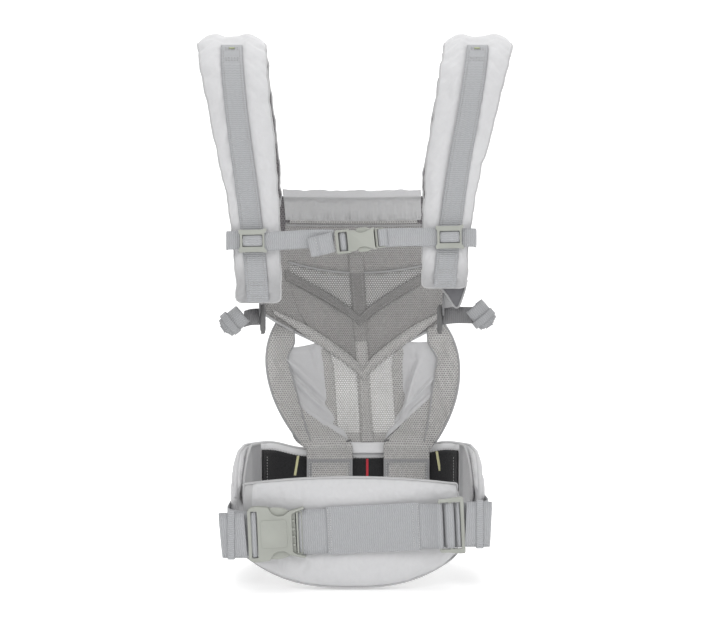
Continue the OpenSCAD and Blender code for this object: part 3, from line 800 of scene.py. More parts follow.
def build_panel():
    """The mesh panel in one piece: fine mesh, the open windows above and the light open seat."""
    nu = 64
    grid, cells, lift = [], [], []
    u_values = np.linspace(-1, 1, nu + 1)

    def edges(u):
        wide = u * panel.half_w(320 * MM)
        top_v = min(v_height(UPPER_V, wide), yoke_seam(wide) - 6 * MM)
        low_v = min(v_height(LOWER_V, u * panel.half_w(240 * MM)), top_v - 30 * MM)
        return [panel.low_z, 152 * MM, low_v, top_v, yoke_seam(wide), panel.fold_z]

    knots = np.array([edges(u) for u in u_values])
    for part, (steps, kind) in enumerate(PANEL_PARTS):
        for j in range(steps + (part == len(PANEL_PARTS) - 1)):
            k = j / steps
            row, row_lift = [], []
            for i, u in enumerate(u_values):
                z = mix(knots[i, part], knots[i, part + 1], k)
                row.append(panel.off(u * panel.half_w(z), z))
                seam = min(k, 1 - k) * (knots[i, part + 1] - knots[i, part])
                row_lift.append(1.6 * MM * (1 - math.exp(-seam / (5 * MM)))
                                + 0.5 * MM * wave(u * 6 + 9 * z, 2.0 + part))
            grid.append(row)
            lift.append(row_lift)
            if j < steps:
                middle = (u_values[:-1] + u_values[1:]) / 2
                if kind == LIGHT_CELL:
                    height = mix(knots[:, part], knots[:, part + 1], k).mean()
                    cells.append([kind if abs(m) < side_strip(height) else PALE_CELL for m in middle])
                else:
                    cells.append([kind] * nu)
    points = np.array(grid)
    lift = np.array(lift)
    fade = np.minimum(1, (1 - np.abs(u_values)) / 0.05)[None, :]
    obj = slab("panel_mesh", points, 1.2 * MM + lift * fade, 1.4 * MM, PANEL_MATERIALS, 0, cells, flat=True)
    place(obj, ROOT, "mesh_fabric", "body_panel")

    seam = [panel.off(dx, yoke_seam(dx), 2.2 * MM) for dx in np.linspace(-84, 84, 60) * MM]
    cord("panel_yoke_seam", seam, 1.5 * MM, BINDING, ROOT, "mesh_fabric")
    across = np.linspace(-82, 82, 80) * MM
    rows = [[panel.off(dx, yoke_seam(dx) + drop, 3.2 * MM) for dx in across]
            for drop in (-3.4 * MM, 3.4 * MM)]
    rows.append([panel.off(dx, 380 * MM, 3.0 * MM) for dx in across])
    for side in (-1, 1):
        rows.append([panel.off(side * panel.half_w(z) * side_strip(z), z, 3.6 * MM)
                     for z in np.linspace(156, 246, 50) * MM])
    stitches("panel_stitching", [(row, VIEWER) for row in rows], ROOT, "mesh_fabric", THREAD_DIM)


def build_v_band(name, v, reach, tall, material, tip=1.0):
    """A folded band laid in a V, with a raised cord in each edge and two rows of stitches.

    tip is the part of its height that is left where each arm ends.
    """
    nu = 72

    def point(u, k):
        dx = (2 * u - 1) * reach
        narrow = mix(1.0, tip, smooth((abs(dx) / reach - 0.55) / 0.45))
        z = v_height(v, dx) + (k - 0.5) * tall * narrow
        return panel.off(dx, z, 4.4 * MM + 0.25 * MM * wave(u * 22, 5.0))

    points = surface(point, nu, 6)
    k = np.linspace(-1, 1, 7)[:, None]
    front = (0.7 + 0.9 * dent(np.abs(k), 0.75, 0.22)) * MM * np.ones((1, nu + 1))
    obj = slab(f"{name}_tape", points, front, 1.2 * MM, [material], flat=True)
    subdivide(obj)
    place(obj, ROOT, "webbing", name)
    rows = [(nearer(points[j, 2:-2], 1.9 * MM), VIEWER) for j in (1, 5)]
    stitches(f"{name}_stitching", rows, ROOT, "webbing", THREAD_DIM)


def build_centre_strip():
    """The band down the middle: pale at the seat, fine mesh above it, dark between the two Vs."""
    low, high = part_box("centre_strip")

    def point(u, k):
        z = mix(low.z, high.z, k)
        narrow = mix(7.5, 9, smooth((z - 262 * MM) / (30 * MM))) * MM
        return panel.off((2 * u - 1) * narrow, z, 3.2 * MM + 0.2 * MM * wave(k * 30, 1.0))

    points = surface(point, 6, 90)
    heights = points[:-1, 3, 2]
    dark = (heights > 292 * MM) & (heights < 348 * MM)
    cells = np.where(dark, 1, np.where(heights > 262 * MM, 0, 2))[:, None] * np.ones((1, 6))
    kinds = [MESH_FINE, MESH_BAND, MESH_PALE]
    strip = slab("centre_strip_tape", points, 0.7 * MM, 0.9 * MM, kinds, 0, cells, flat=True)
    place(strip, ROOT, "webbing", "centre_strip")
    rows = [(nearer(points[2:-2, i], 0.9 * MM), VIEWER) for i in (1, 5)]
    stitches("centre_strip_stitching", rows, ROOT, "webbing", THREAD_DIM)


def build_wing(name):
    """The mesh wing out to the side webbing, with a bound lower edge."""
    side = SIDES[name]
    nu, nv = 26, 26

    def point(u, v):
        k = u if side > 0 else 1 - u
        low = mix(262, 301, k) * MM
        high = mix(395, 327, smooth(k)) * MM
        z = mix(low, high, v)
        x = side * mix(panel.half_w(z) - 3 * MM, 121 * MM, k)
        return panel.off(x, z, 0.8 * MM * wave(k * 5 + v * 3, 4.0 + side))

    points = surface(point, nu, nv)
    front = rounded_edge(nu, nv, 2.2 * MM, 6, 0.4)
    place(slab(f"{name}_wing_mesh", points, front, 1.4 * MM, [MESH_FINE], flat=True), ROOT, "mesh_fabric",
          f"{name}_wing")
    edge = nearer(points[0], 1.2 * MM)
    cord(f"{name}_wing_binding", edge, 1.8 * MM, CLOTH_WARM, ROOT, "mesh_fabric")
    row = nearer(points[2], 2.6 * MM)
    stitches(f"{name}_wing_stitching", [(row, VIEWER)], ROOT, "mesh_fabric", THREAD_DIM)


HEM_V = 0.74
PLEATS = 34


def build_head_support():
    """Gathered cloth over a soft core, with a smooth hem at its top edge."""
    body = "head_support"
    nu, nv = 210, 26
    half = 84 * MM
    low_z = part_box("head_support")[0].z + 1 * MM

    def point(u, v):
        z = mix(low_z, panel.top_z - 2 * MM, v)
        return panel.off((2 * u - 1) * half, z + 1.1 * MM * wave(u * 11, 1.7) * smooth((v - 0.9) / 0.1))

    points = surface(point, nu, nv)
    u, v = axes(nu, nv)
    soft = 3.4 * MM * (1 - 0.75 * np.abs(2 * v - 1) ** 5) * (1 - 0.6 * np.abs(2 * u - 1) ** 14)
    pleats = np.zeros((nv + 1, nu + 1))
    for k in range(PLEATS):
        at_u, tall = rng.uniform(0.02, 0.98), rng.uniform(0.14, 0.42)
        line = dent(u * 2 * half, (at_u + 0.012 * math.sin(k) * v) * 2 * half, 1.3 * MM)
        pleats = np.maximum(pleats, line * np.clip(1 - v / tall, 0, 1) ** 0.5)
    gather = wavy(nu, 0, 1, lambda i, j: (i / nu * 38, 0.6)) - 1.6 * pleats
    fall = dent(v, 0, 0.34) * (1 - dent(v, 0, 0.05))
    front = soft + 1.4 * MM * np.clip((0.72 - v) / 0.1, 0, 1) + 1.7 * MM * gather * fall
    front = front + wavy(nu, 0, 0.4 * MM, lambda i, j: (i / nu * 9, 4.4)) * (v < 0.75)
    front = front - 1.5 * MM * dent(v, HEM_V, 0.025)
    obj = slab("head_support_cloth", points, np.maximum(front, 0.6 * MM), soft * 0.8, [CLOTH_WARM])
    _, row, rim = grid_index(nu, nv)
    edge = rim | (row == 1) | (np.abs(row / nv - HEM_V) < 0.03)
    puff(obj, np.concatenate([edge | (row < 0.45 * nv), edge]), pressure=1.5, cap=2 * MM, shrink=-0.02)
    place(obj, body, "padded_fabric", "head_support")

    def hem_point(u, v):
        z = mix(panel.top_z - 10 * MM, panel.top_z - 1.5 * MM, v) + 1.1 * MM * wave(u * 11, 1.7) * v
        return panel.off((2 * u - 1) * half, z, 3.9 * MM)

    hem = surface(hem_point, 120, 5)
    place(slab("head_support_hem", hem, 0.6 * MM, 0.9 * MM, [CLOTH]), body, "padded_fabric",
          "head_support_binding")
    row = hem[0] + np.array([0, -0.8 * MM, 1.4 * MM])
    stitches("head_support_stitching", [(row, VIEWER)], body, "padded_fabric")

    def hinge_point(u, v):
        return panel.off((2 * u - 1) * half, panel.fold_z + mix(-9, 9, v) * MM, -0.4 * MM)

    hinge = slab("head_support_hinge_cloth", surface(hinge_point, 40, 10), 1.0 * MM, 0.8 * MM, [MESH_PALE],
                 flat=True)
    join(hinge, ROOT, body, panel.off(0, panel.fold_z - 3 * MM), panel.off(0, panel.fold_z + 5 * MM),
         "padded_fabric")
    low_row = [panel.off(dx, panel.fold_z - 3 * MM, 2.6 * MM) for dx in np.linspace(-83, 83, 80) * MM]
    cord("head_support_seam", low_row, 1.0 * MM, BINDING, ROOT, "padded_fabric")


build_panel()
build_v_band("upper_v_band", UPPER_V, 88 * MM, 13 * MM, MESH_BAND)
build_v_band("lower_v_band", LOWER_V, 106 * MM, 16 * MM, MESH_PALE, 0.35)
build_centre_strip()
for name in SIDES:
    build_wing(name)
build_head_support()


def build_strap_root(name):
    """The cloth between the panel's upper corner and the strap's end, dark mesh on its inner face."""
    side, strap = SIDES[name], straps[name]
    end = strap.point(1)
    reach = strap.half_w(1) - 1.5 * MM
    near_x, far_x = abs(end[0]) - reach, abs(end[0]) + reach

    def point(u, v):
        k = u if side > 0 else 1 - u
        low_x, low_z = mix(76 * MM, 106 * MM, k), mix(386 * MM, 352 * MM, k)
        top_x = mix(76 * MM, far_x - 2 * MM, k)
        top_z = mix(442 * MM, end[2] + 6 * MM, smooth((k - 0.28) / 0.3))
        x, z = mix(low_x, top_x, v), mix(low_z, top_z, v)
        q = panel.at(side * x, z, -1.4 * MM)
        q[1] = mix(q[1], strap.end_y, smooth(v * clamp((x - 70 * MM) / (near_x - 70 * MM))))
        return q

    points = surface(point, 24, 28)
    obj = slab(f"{name}_strap_root", points, 1.0 * MM, 1.0 * MM, [MESH_DARK, CLOTH], 1, flat=True)
    corner = panel.at(side * 80 * MM, 396 * MM)
    join(obj, ROOT, f"{name}_strap", corner, (side * near_x, strap.end_y, end[2] + 2 * MM), "mesh_fabric")


for name in SIDES:
    build_strap_root(name)


# ---------------------------------------------------------------- bucket seat

def coons(bottom, top, left, right, nu, nv):
    """A grid that fills four edge curves, each a function of 0 to 1."""

    def point(u, v):
        ruled = mix(bottom(u), top(u), v) + mix(left(v), right(v), u)
        return ruled - mix(mix(bottom(0), bottom(1), u), mix(top(0), top(1), u), v)

    return surface(point, nu, nv)


def polyline(*knots):
    """A smooth curve of 0 to 1 through (x, z) points in millimetres."""
    path = smooth_path([(x * MM, 0.0, z * MM) for x, z in knots], 60)
    t = np.linspace(0, 1, 60)
    return lambda k: np.array([np.interp(k, t, path[:, 0]), np.interp(k, t, path[:, 2])])


def build_bolster(name):
    """The padded mesh side of the seat, piped along its outer and inner edges."""
    side = SIDES[name]
    nu, nv = 16, 60

    def point(u, v):
        k = u if side > 0 else 1 - u
        z = mix(141, 299, v) * MM
        inner, outer = panel.bolster_in(z), panel.seat_w(z) - 1.5 * MM
        return panel.off(side * mix(inner, outer, k), z, mix(6, -6, smooth((z - 268 * MM) / (20 * MM))) * MM)

    points = surface(point, nu, nv)
    thick = rounded_edge(nu, nv, 4.6 * MM, 3, 0.3)
    ripple = wavy(nu, nv, 0.5 * MM, lambda i, j: (j / 7 + i / 5, 3.0 + side))
    front = thick + ripple * (thick > 2 * MM)
    obj = slab(f"{name}_seat_bolster", points, front, thick * 0.8, [MESH_PALE], flat=True)
    _, _, rim = grid_index(nu, nv)
    puff(obj, np.concatenate([rim, rim]), pressure=2.5, cap=3 * MM, shrink=-0.03)
    subdivide(obj)
    place(obj, ROOT, "mesh_fabric", f"{name}_seat_side")
    for which, column in zip(("outer", "inner"), (nu, 0) if side > 0 else (0, nu)):
        line = nearer(points[:, column], 0.6 * MM)
        cord(f"{name}_seat_{which}_piping", line, 1.5 * MM, BINDING, ROOT, "mesh_fabric")


# Edges of the seat pockets and of the mesh below them, as (x, z) points in millimetres.
POCKETS = {
    "left": dict(bottom=((-79, 194), (-44, 164), (-8, 142)), top=((-91, 256), (-66, 258), (-40, 264)),
                 left=((-79, 194), (-85, 225), (-91, 256)), right=((-8, 142), (-30, 190), (-40, 264))),
    "right": dict(bottom=((36, 142), (66, 170), (99, 200)), top=((58, 265), (80, 263), (107, 266)),
                  left=((36, 142), (55, 190), (58, 265)), right=((99, 200), (104, 232), (107, 266))),
}
LEGS = {
    "left": dict(bottom=((-61, 133), (-31, 133), (-3, 133)), top=((-81, 196), (-46, 168), (-6, 141)),
                 left=((-61, 133), (-76, 150), (-81, 196)), right=((-3, 133), (-4, 137), (-6, 141))),
    "right": dict(bottom=((35, 133), (63, 133), (93, 133)), top=((37, 141), (68, 172), (99, 202)),
                  left=((35, 133), (35, 137), (37, 141)), right=((93, 133), (100, 150), (99, 202))),
}


def build_pocket(name):
    """The smooth slack cloth beside the centre panel, with a hemmed mouth and soft folds."""
    side = SIDES[name]
    edges = [polyline(*POCKETS[name][edge]) for edge in ("bottom", "top", "left", "right")]
    flat = coons(*edges, 36, 44)
    u, v = axes(36, 44)
    out = u if side > 0 else 1 - u
    tuck = 1.4 * MM - 1.8 * MM * np.clip(1 - out / 0.3, 0, 1) * np.ones_like(v)
    grid = np.array([[panel.at(x, z, t) for (x, z), t in zip(row, depths)]
                     for row, depths in zip(flat, tuck)])
    # Folds in millimetres; out goes from 0 at the inner edge to 1 at the outer edge.
    if side < 0:
        fold = (5.0 * dent(v, 0.20 + 0.26 * out, 0.06) * np.sin(math.pi * np.clip(out + 0.12, 0, 1))
                + 4.5 * dent(v, 0.42 + 0.36 * out, 0.07) * np.clip(1.6 * out, 0, 1)
                - 4.0 * dent(v, 0.32 + 0.28 * out, 0.045)
                - 3.5 * dent(out, 0.72, 0.10) * dent(v, 0.36, 0.09)
                - 4.0 * dent(out, 0.30 - 0.35 * (1 - v), 0.045) * np.clip((v - 0.66) / 0.2, 0, 1))
    else:
        drift = 0.12 * np.sin(5 * v)
        fold = (6.0 * dent(out, 0.40 - drift, 0.09) * np.sin(math.pi * np.clip(v + 0.1, 0, 1))
                - 4.5 * dent(out, 0.24 - drift, 0.05) * dent(v, 0.5, 0.3)
                + 4.0 * dent(v, 0.16 + 0.18 * out, 0.06)
                - 3.5 * dent(v, 0.86 - 0.2 * out, 0.04) * np.clip(1 - out, 0, 1))
    fold = fold * np.clip(out / 0.3, 0.15, 1)
    hem = 1.5 * dent(v, 0.95, 0.04)
    sag = 1.6 * np.sin(math.pi * u) * np.sin(math.pi * v)
    front = (1.8 + fold + hem + sag) * MM * np.minimum(1, np.minimum(out, 1 - out) / 0.05 + 0.35)
    obj = slab(f"{name}_seat_pocket_cloth", grid, np.maximum(front, 0.4 * MM), 0.9 * MM, [CLOTH])
    subdivide(obj)
    place(obj, ROOT, "padded_fabric", f"{name}_seat_pocket")
    low, upper = nearer(grid[0], 2.6 * MM), nearer(grid[5], 2.8 * MM)
    band = np.stack([mix(low, upper, k) for k in np.linspace(0, 1, 6)])
    place(slab(f"{name}_seat_fold_band", band, 0.9 * MM, 0.8 * MM, [CLOTH]), ROOT, "padded_fabric")
    mouth = nearer(grid[-3], 3.0 * MM)
    stitches(f"{name}_seat_pocket_stitching", [(mouth, VIEWER)], ROOT, "padded_fabric")


def build_leg(name):
    """The mesh that narrows from the seat side down to the tab on the waistbelt."""
    side = SIDES[name]
    edges = [polyline(*LEGS[name][edge]) for edge in ("bottom", "top", "left", "right")]
    flat = coons(*edges, 40, 26)
    tab_low, tab_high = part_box(f"{name}_seat_tab")
    tab_y = (tab_low.y + tab_high.y) / 2

    def settled(x, z):
        q = panel.at(x, z, 3.6 * MM)
        q[1] = mix(q[1], tab_y, smooth((150 * MM - z) / (18 * MM)))
        return q

    grid = np.array([[settled(x, z) for x, z in row] for row in flat])
    ripple = wavy(40, 26, 0.5 * MM, lambda i, j: (j / 6 + i / 9, 6.0 + side))
    front = rounded_edge(40, 26, 2.0 * MM, 6, 0.5) + ripple
    obj = slab(f"{name}_seat_leg_mesh", grid, front, 1.3 * MM, [MESH_PALE], flat=True)
    bartack_at = grid[-1, -2 if side < 0 else 1]
    join(obj, ROOT, f"{name}_tab", (tab_low.x, tab_y, tab_high.z + 30 * MM),
         (tab_low.x, tab_y, tab_high.z - 4 * MM), "mesh_fabric")
    tack = [bartack_at + np.array([dx, -3.4 * MM, 0.35 * dx]) for dx in np.linspace(-3, 3, 5) * MM]
    cord(f"{name}_seat_bartack", tack, 1.1 * MM, DARK_WEBBING, ROOT, "webbing")


def build_tab(name):
    """The mesh tab with a stitched box of hook tape, stuck to the belt's loop strip."""
    low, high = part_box(f"{name}_seat_tab")
    y = (low.y + high.y) / 2
    nu, nv = 36, 26

    def point(u, v):
        return np.array([mix(low.x + 1 * MM, high.x - 1 * MM, u), y, mix(low.z, high.z, v)])

    points = surface(point, nu, nv)
    u = np.abs(np.linspace(-1, 1, nu + 1))[None, :]
    v = np.linspace(0, 1, nv + 1)[:, None]
    groove = np.maximum(dent(u, 0.84, 0.04) * (v < 0.56), dent(v, 0.52, 0.03) * (u < 0.84))
    front = rounded_edge(nu, nv, 1.9 * MM, 8, 0.5) - 1.3 * MM * groove
    across, up = u[:, :-1], v[:-1]
    border = ((across > 0.8) & (up < 0.58)) | ((up > 0.48) & (up < 0.58))
    obj = slab(f"{name}_tab_mesh", points, front, 1.4 * MM, [MESH_PALE, CLOTH_DIM], 0, border * 1, flat=True)
    place(obj, f"{name}_tab", "mesh_fabric", f"{name}_seat_tab")

    def box_row(fx, fz):
        x0, x1 = mix(low.x, high.x, fx), mix(low.x, high.x, 1 - fx)
        z1 = mix(low.z, high.z, fz)
        corners = [(x0, low.z + 2 * MM), (x0, z1), (x1, z1), (x1, low.z + 2 * MM)]
        path = [(mix(a[0], b[0], t), y - 2.1 * MM, mix(a[1], b[1], t))
                for a, b in zip(corners[:-1], corners[1:]) for t in np.linspace(0, 1, 30)]
        return path, VIEWER

    rows = [box_row(0.08, 0.52), box_row(0.13, 0.47)]
    stitches(f"{name}_tab_stitching", rows, f"{name}_tab", "mesh_fabric", radius=0.55 * MM)


for name in SIDES:
    build_bolster(name)
    build_pocket(name)
    build_leg(name)
    build_tab(name)


# ---------------------------------------------------------------- waistbelt

class Belt:
    """The belt's loop in plan and its height along the way, from the CAD cover's box."""

    THICK = 12 * MM
    CORNER = 55 * MM
    TIP_R = 52 * MM

    def __init__(self):
        low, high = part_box("belt_cover")
        self.x = (low.x + high.x) / 2
        self.half_w = (high.x - low.x) / 2
        self.far_y = high.y
        self.tip_y = low.y
        self.low_z = low.z
        self.top_z = high.z - 10 * MM
        self.tip_z = 88 * MM

    def path(self, inset, count):
        """Points from the left tip round the front to the right tip, inset from the outer face."""
        r = self.CORNER - inset
        half = self.half_w - inset
        corner_y = self.far_y - self.CORNER
        turn = np.linspace(0, math.pi / 2, 40)
        line = [(-half, y) for y in np.linspace(self.tip_y, corner_y, 40)]
        line += [(-half + r - r * math.cos(a), corner_y + r * math.sin(a)) for a in turn[1:]]
        line += [(x, self.far_y - inset) for x in np.linspace(-half + r, half - r, 50)[1:-1]]
        line += [(half - r + r * math.sin(a), corner_y + r * math.cos(a)) for a in turn]
        line += [(half, y) for y in np.linspace(corner_y, self.tip_y, 40)[1:]]
        return respaced(np.array([(x + self.x, y, 0.0) for x, y in line]), count)

    def heights(self, p):
        """Lowest and highest z at a point in plan."""
        k = min(abs(p[0] - self.x) / self.half_w, 1.0) ** 2
        low, high = self.low_z + 30 * MM * k, self.top_z + 10 * MM * k
        high += 5 * MM * dent(abs(p[0] - self.x), 106 * MM, 24 * MM)
        centre_y = self.tip_y + self.TIP_R
        if p[1] < centre_y:
            reach = math.sqrt(max(self.TIP_R ** 2 - (centre_y - p[1]) ** 2, (6 * MM) ** 2))
            low, high = max(low, self.tip_z - reach), min(high, self.tip_z + reach)
        return low, high


belt = Belt()
# Where the cover is stitched through: across its far side, which lies past FAR_SIDE_Y, and down each side.
FAR_SIDE_Y = 60 * MM
CROSS_SEAM_X = (-112 * MM, 124 * MM)
SIDE_SEAM_Y = 8 * MM
SEAM_HALF = 2.2 * MM


def build_belt():
    """The padded loop, stitched down at its seams and bound along its whole rim."""
    nu, nv = 300, 34
    plan = belt.path(belt.THICK / 2, nu + 1)

    def point(u, v):
        p = plan[round(u * nu)]
        low, high = belt.heights(p)
        return np.array([p[0], p[1], mix(low + 1 * MM, high - 1 * MM, v)])

    points = surface(point, nu, nv)
    u = np.linspace(0, 1, nu + 1)[None, :]
    v = np.linspace(-1, 1, nv + 1)[:, None]
    x, y = plan[:, 0], plan[:, 1]
    edge = 1 - 0.72 * np.abs(v) ** 7
    tip = np.clip(np.minimum(u, 1 - u) / 0.015, 0.3, 1)
    cross_seams = np.maximum(*(dent(x, seam_x, SEAM_HALF) for seam_x in CROSS_SEAM_X)) * (y > FAR_SIDE_Y)
    seams = np.maximum(cross_seams, dent(y, SIDE_SEAM_Y, SEAM_HALF))
    half = belt.THICK / 2 * edge * tip - 1.6 * MM * seams * (np.abs(v) < 0.95)
    soft = wavy(nu, nv, 0.5 * MM, lambda i, j: (i / 9 + j / 11, 2.0))
    # The top rows of the inner face take the lighter cloth: painted light on a band inside the loop's shade.
    cells = (np.arange(nv)[:, None] > 0.84 * nv) * np.ones((1, nu))
    obj = slab("belt_padding", points, half, half + soft * (edge > 0.9), [CLOTH, CLOTH_PAINTED_LIGHT], 0, cells)
    column, _, rim = grid_index(nu, nv)
    still = rim | (seams[column] > 0.3)
    covered, side_face = y[column] > -40 * MM, np.abs(y[column]) < 30 * MM
    puff(obj, np.concatenate([still | covered, still | side_face]), pressure=3.0, cap=3.5 * MM, shrink=-0.02)
    place(obj, ROOT, "padded_fabric", "belt_cover", "belt_foam")

    outline = [*points[-1], *points[0, ::-1], points[-1, 0]]
    outline = smooth_path(outline[::3] + [outline[-1]], 620)
    cord("belt_binding", outline, 2.1 * MM, CLOTH, ROOT, "padded_fabric")
    normals = grid_normals(points)[-3, 6:-6]
    row = (points[-3, 6:-6] + normals * 5.6 * MM, normals)
    stitches("belt_stitching", [row], ROOT, "padded_fabric", pitch=3.6 * MM, length=2.4 * MM)


def spread(path, count):
    """count points picked evenly from a dense path."""
    return path[np.linspace(0, len(path) - 1, count).round().astype(int)]


def face_strip(x_range, drop, height, inset, count):
    """A grid on the belt's inner face, drop below its top edge."""
    path = belt.path(belt.THICK + inset, 900)
    inside = (path[:, 0] >= x_range[0]) & (path[:, 0] <= x_range[1]) & (path[:, 1] > FAR_SIDE_Y)
    pick = spread(path[inside], count)
    return np.array([[[p[0], p[1], belt.heights(p)[1] - drop - height * (1 - v)] for p in pick]
                     for v in np.linspace(0, 1, 9)])


def build_loop_strip():
    """The black loop strip on the belt's inner face, with its stitching and three width marks."""
    low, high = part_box("belt_loop_strip")
    grid = face_strip((low.x, high.x), 9 * MM, high.z - low.z, 1.2 * MM, 110)
    place(slab("belt_loop_pile", grid, rounded_edge(109, 8, 0.8 * MM, 8, 0.3), 1.0 * MM, [PILE]),
          ROOT, "hook_and_loop", "belt_loop_strip")
    normals = grid_normals(grid)
    rows = [(grid[at] + normals[at] * 1.0 * MM, normals[at])
            for at in ((slice(1, -1), 3), (slice(1, -1), -4), (-1, slice(3, -3)))]
    stitches("belt_loop_stitching", rows, ROOT, "hook_and_loop", pitch=3.4 * MM, length=2.2 * MM)

    for label, x, tilt, material, finish, node in (
            ("centre_width_line", 15, 0, RED_TAPE, "red_mark", "centre_width_mark"),
            ("left_width_line", -71.5, 4, CREAM_TAPE, "cream_mark", "side_width_marks"),
            ("right_width_line", 102, -4, CREAM_TAPE, "cream_mark", "side_width_marks")):
        mark = face_strip(((x - 3) * MM, (x + 3) * MM), 10 * MM, 24 * MM, 2.3 * MM, 9)
        sway = np.linspace(-tilt / 2, tilt / 2, 9)[:, None] * np.array([[MM, 0, 0]])
        line = np.stack([mark[:, 4] + sway + np.array([dx * MM, 0, 0])
                         for dx in (-1.5, -0.75, 0, 0.75, 1.5)], 1)
        place(slab(label, line, 0.4 * MM, 0.4 * MM, [material]), ROOT, finish, node)


def build_side_pad(name):
    """The half-moon of padding inside the belt's side, bound along its curved edge."""
    side = SIDES[name]
    path = belt.path(belt.THICK + 1.0 * MM, 900)
    strip_end = abs(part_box("belt_loop_strip")[side > 0].x)
    keep = (path[:, 0] * side > strip_end + 1.5 * MM) & (path[:, 1] > belt.tip_y + 10 * MM)
    path = path[keep] if side < 0 else path[keep][::-1]
    pick = spread(path, 70)
    mid_z, reach = 100 * MM, 37 * MM

    def point(u, v):
        p, k = pick[round(u * 69)], 2 * v - 1
        z = mid_z + 4 * MM * u * (k > 0) + k * reach * math.sqrt(clamp(1 - (1 - u) ** 2, 0.02, 1))
        return np.array([p[0], p[1], min(z, belt.heights(p)[1] - (4 - 3 * k) * MM)])

    grid = surface(point, 69, 24)
    if side > 0:
        grid = grid[:, ::-1]
    front = rounded_edge(69, 24, 2.6 * MM, 4, 0.25)
    # The darker cloth is painted shade inside the belt's side.
    place(slab(f"{name}_belt_side_pad", grid, front, 1.0 * MM, [CLOTH_DIM]), ROOT, "padded_fabric")
    tip_first = slice(None) if side < 0 else slice(None, None, -1)
    top, bottom = grid[-1, tip_first], grid[0, tip_first]
    lifted = grid_normals(grid)[0, 10] * 1.0 * MM
    edge = smooth_path(np.concatenate([bottom[::-1][::3], top[2::3]]) + lifted, 160)
    cord(f"{name}_belt_side_binding", edge, 1.5 * MM, CLOTH_WARM, ROOT, "padded_fabric")


def build_panel_foot():
    """Smooth cloth between the tabs that joins the panel to the belt's top edge."""
    low_z = belt.top_z - 3 * MM

    def point(u, v):
        x = mix(-8, 38, u) * MM
        z = mix(low_z, panel.low_z + 3.5 * MM, v)
        q = panel.at(x, max(z, panel.low_z), 2.6 * MM)
        q[1] = mix(belt.far_y - belt.THICK - 1.2 * MM, q[1], smooth((z - belt.top_z + 4 * MM) / (14 * MM)))
        q[2] = z
        return q

    front = rounded_edge(20, 14, 1.4 * MM, 6, 0.4)
    # The lighter cloth is painted light on a strip that lies in shade.
    cloth = slab("panel_foot_cloth", surface(point, 20, 14), front, 0.8 * MM, [CLOTH_PAINTED_LIGHT])
    place(cloth, ROOT, "padded_fabric")


build_belt()
build_loop_strip()
build_panel_foot()
for name in SIDES:
    build_side_pad(name)


# ---------------------------------------------------------------- lumbar pad

SEAM_U = -0.91  # the upright seam near the pad's left end


def build_lumbar_pad():
    """The pad behind the waist webbing, curved to the wearer's back and piped round both faces."""
    low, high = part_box("lumbar_cover")
    centre_x, half_w = (low.x + high.x) / 2, (high.x - low.x) / 2
    thick = 20 * MM
    nu, nv = 84, 46
    bend = 480 * MM

    def point(u, v):
        s = 2 * u - 1
        dx = s * (half_w - 2 * MM)
        top = high.z - 9 * MM * s ** 2
        bottom = low.z + 33 * MM * abs(s) ** 2.7
        y = low.y + thick / 2 + dx * dx / (2 * bend)
        return np.array([centre_x + dx, y, mix(bottom + 1.5 * MM, top - 1.5 * MM, v)])

    points = surface(point, nu, nv)
    u, v = axes(nu, nv, -1)
    half = thick / 2 * (1 - 0.72 * np.abs(v) ** 8) * (1 - 0.62 * np.abs(u) ** 16)
    cells = np.zeros((nv, nu))
    cells[:, :4] = 1
    obj = slab("lumbar_cushion", points, half - 1.3 * MM * dent(u, SEAM_U, 0.012), half * 0.95,
               [CLOTH, CLOTH_WARM, MESH_FINE], 2, cells)
    column, row, rim = grid_index(nu, nv)
    under_belt = np.abs(row / nv - 0.55) < 0.24
    seam = np.abs(column / nu * 2 - 1 - SEAM_U) < 0.02
    puff(obj, np.concatenate([rim | under_belt | seam, rim]), pressure=2.5, cap=3 * MM, shrink=-0.02)
    subdivide(obj)
    place(obj, "lumbar_pad", "padded_fabric", "lumbar_cover", "lumbar_foam")

    outline = [*points[-1], *points[-2:0:-1, -1], *points[0, ::-1], *points[1:, 0]]
    for label, toward in (("front", 3.2 * MM), ("back", -3.2 * MM)):
        line = smooth_path(nearer(outline[::3] + [outline[-1]], toward), 420)
        cord(f"lumbar_{label}_piping", line, 1.0 * MM, CLOTH_WARM, "lumbar_pad", "padded_fabric")


build_lumbar_pad()


# ---------------------------------------------------------------- waist webbing

WAIST_TILT = math.radians(2.6)
CHEST_TILT = math.radians(1.1)


class Tilted:
    """A local frame in the plane that faces the viewer, turned up to the right by tilt."""

    def __init__(self, origin, tilt):
        self.origin = np.asarray(origin, float)
        self.right = np.array([math.cos(tilt), 0, math.sin(tilt)])
        self.up = np.array([-math.sin(tilt), 0, math.cos(tilt)])

    def at(self, x, z, near=0.0):
        """A point x to the right, z up and near towards the viewer, all in millimetres."""
        return self.origin + (x * self.right + z * self.up) * MM + np.array([0, -near * MM, 0])


female_centre = box_centre("waist_buckle_female")
slider_centre = box_centre("waist_slider")
# Frames at the waist buckle's mouth and at the middle of the slider.
waist = Tilted(Tilted(female_centre, WAIST_TILT).at(23, 0), WAIST_TILT)
waist_slider = Tilted(slider_centre, WAIST_TILT)
WAIST_WEB, SIDE_WEB, CHEST_WEB = 48 * MM, 25 * MM, 20 * MM
WEB_THICK = 1.5 * MM
SEWN_Z = {"left": 62 * MM, "right": 68 * MM}


def rise(path, start, end):
    """Lets a path's height go smoothly from start to end."""
    lengths = arc_lengths(path[:, :2])
    k = lengths / lengths[-1]
    path[:, 2] = start + (end - start) * k * k * (3 - 2 * k)
    return path


def webbing_strip(name, plan, z_start, z_end):
    """Upright waist webbing along (x, y) points in millimetres, and its path."""
    path = rise(smooth_path([(x * MM, y * MM, 0.0) for x, y in plan], 90), z_start, z_end)
    return ribbon(name, path, (0, 0, 1), WAIST_WEB, WEB_THICK, WEBBING), path


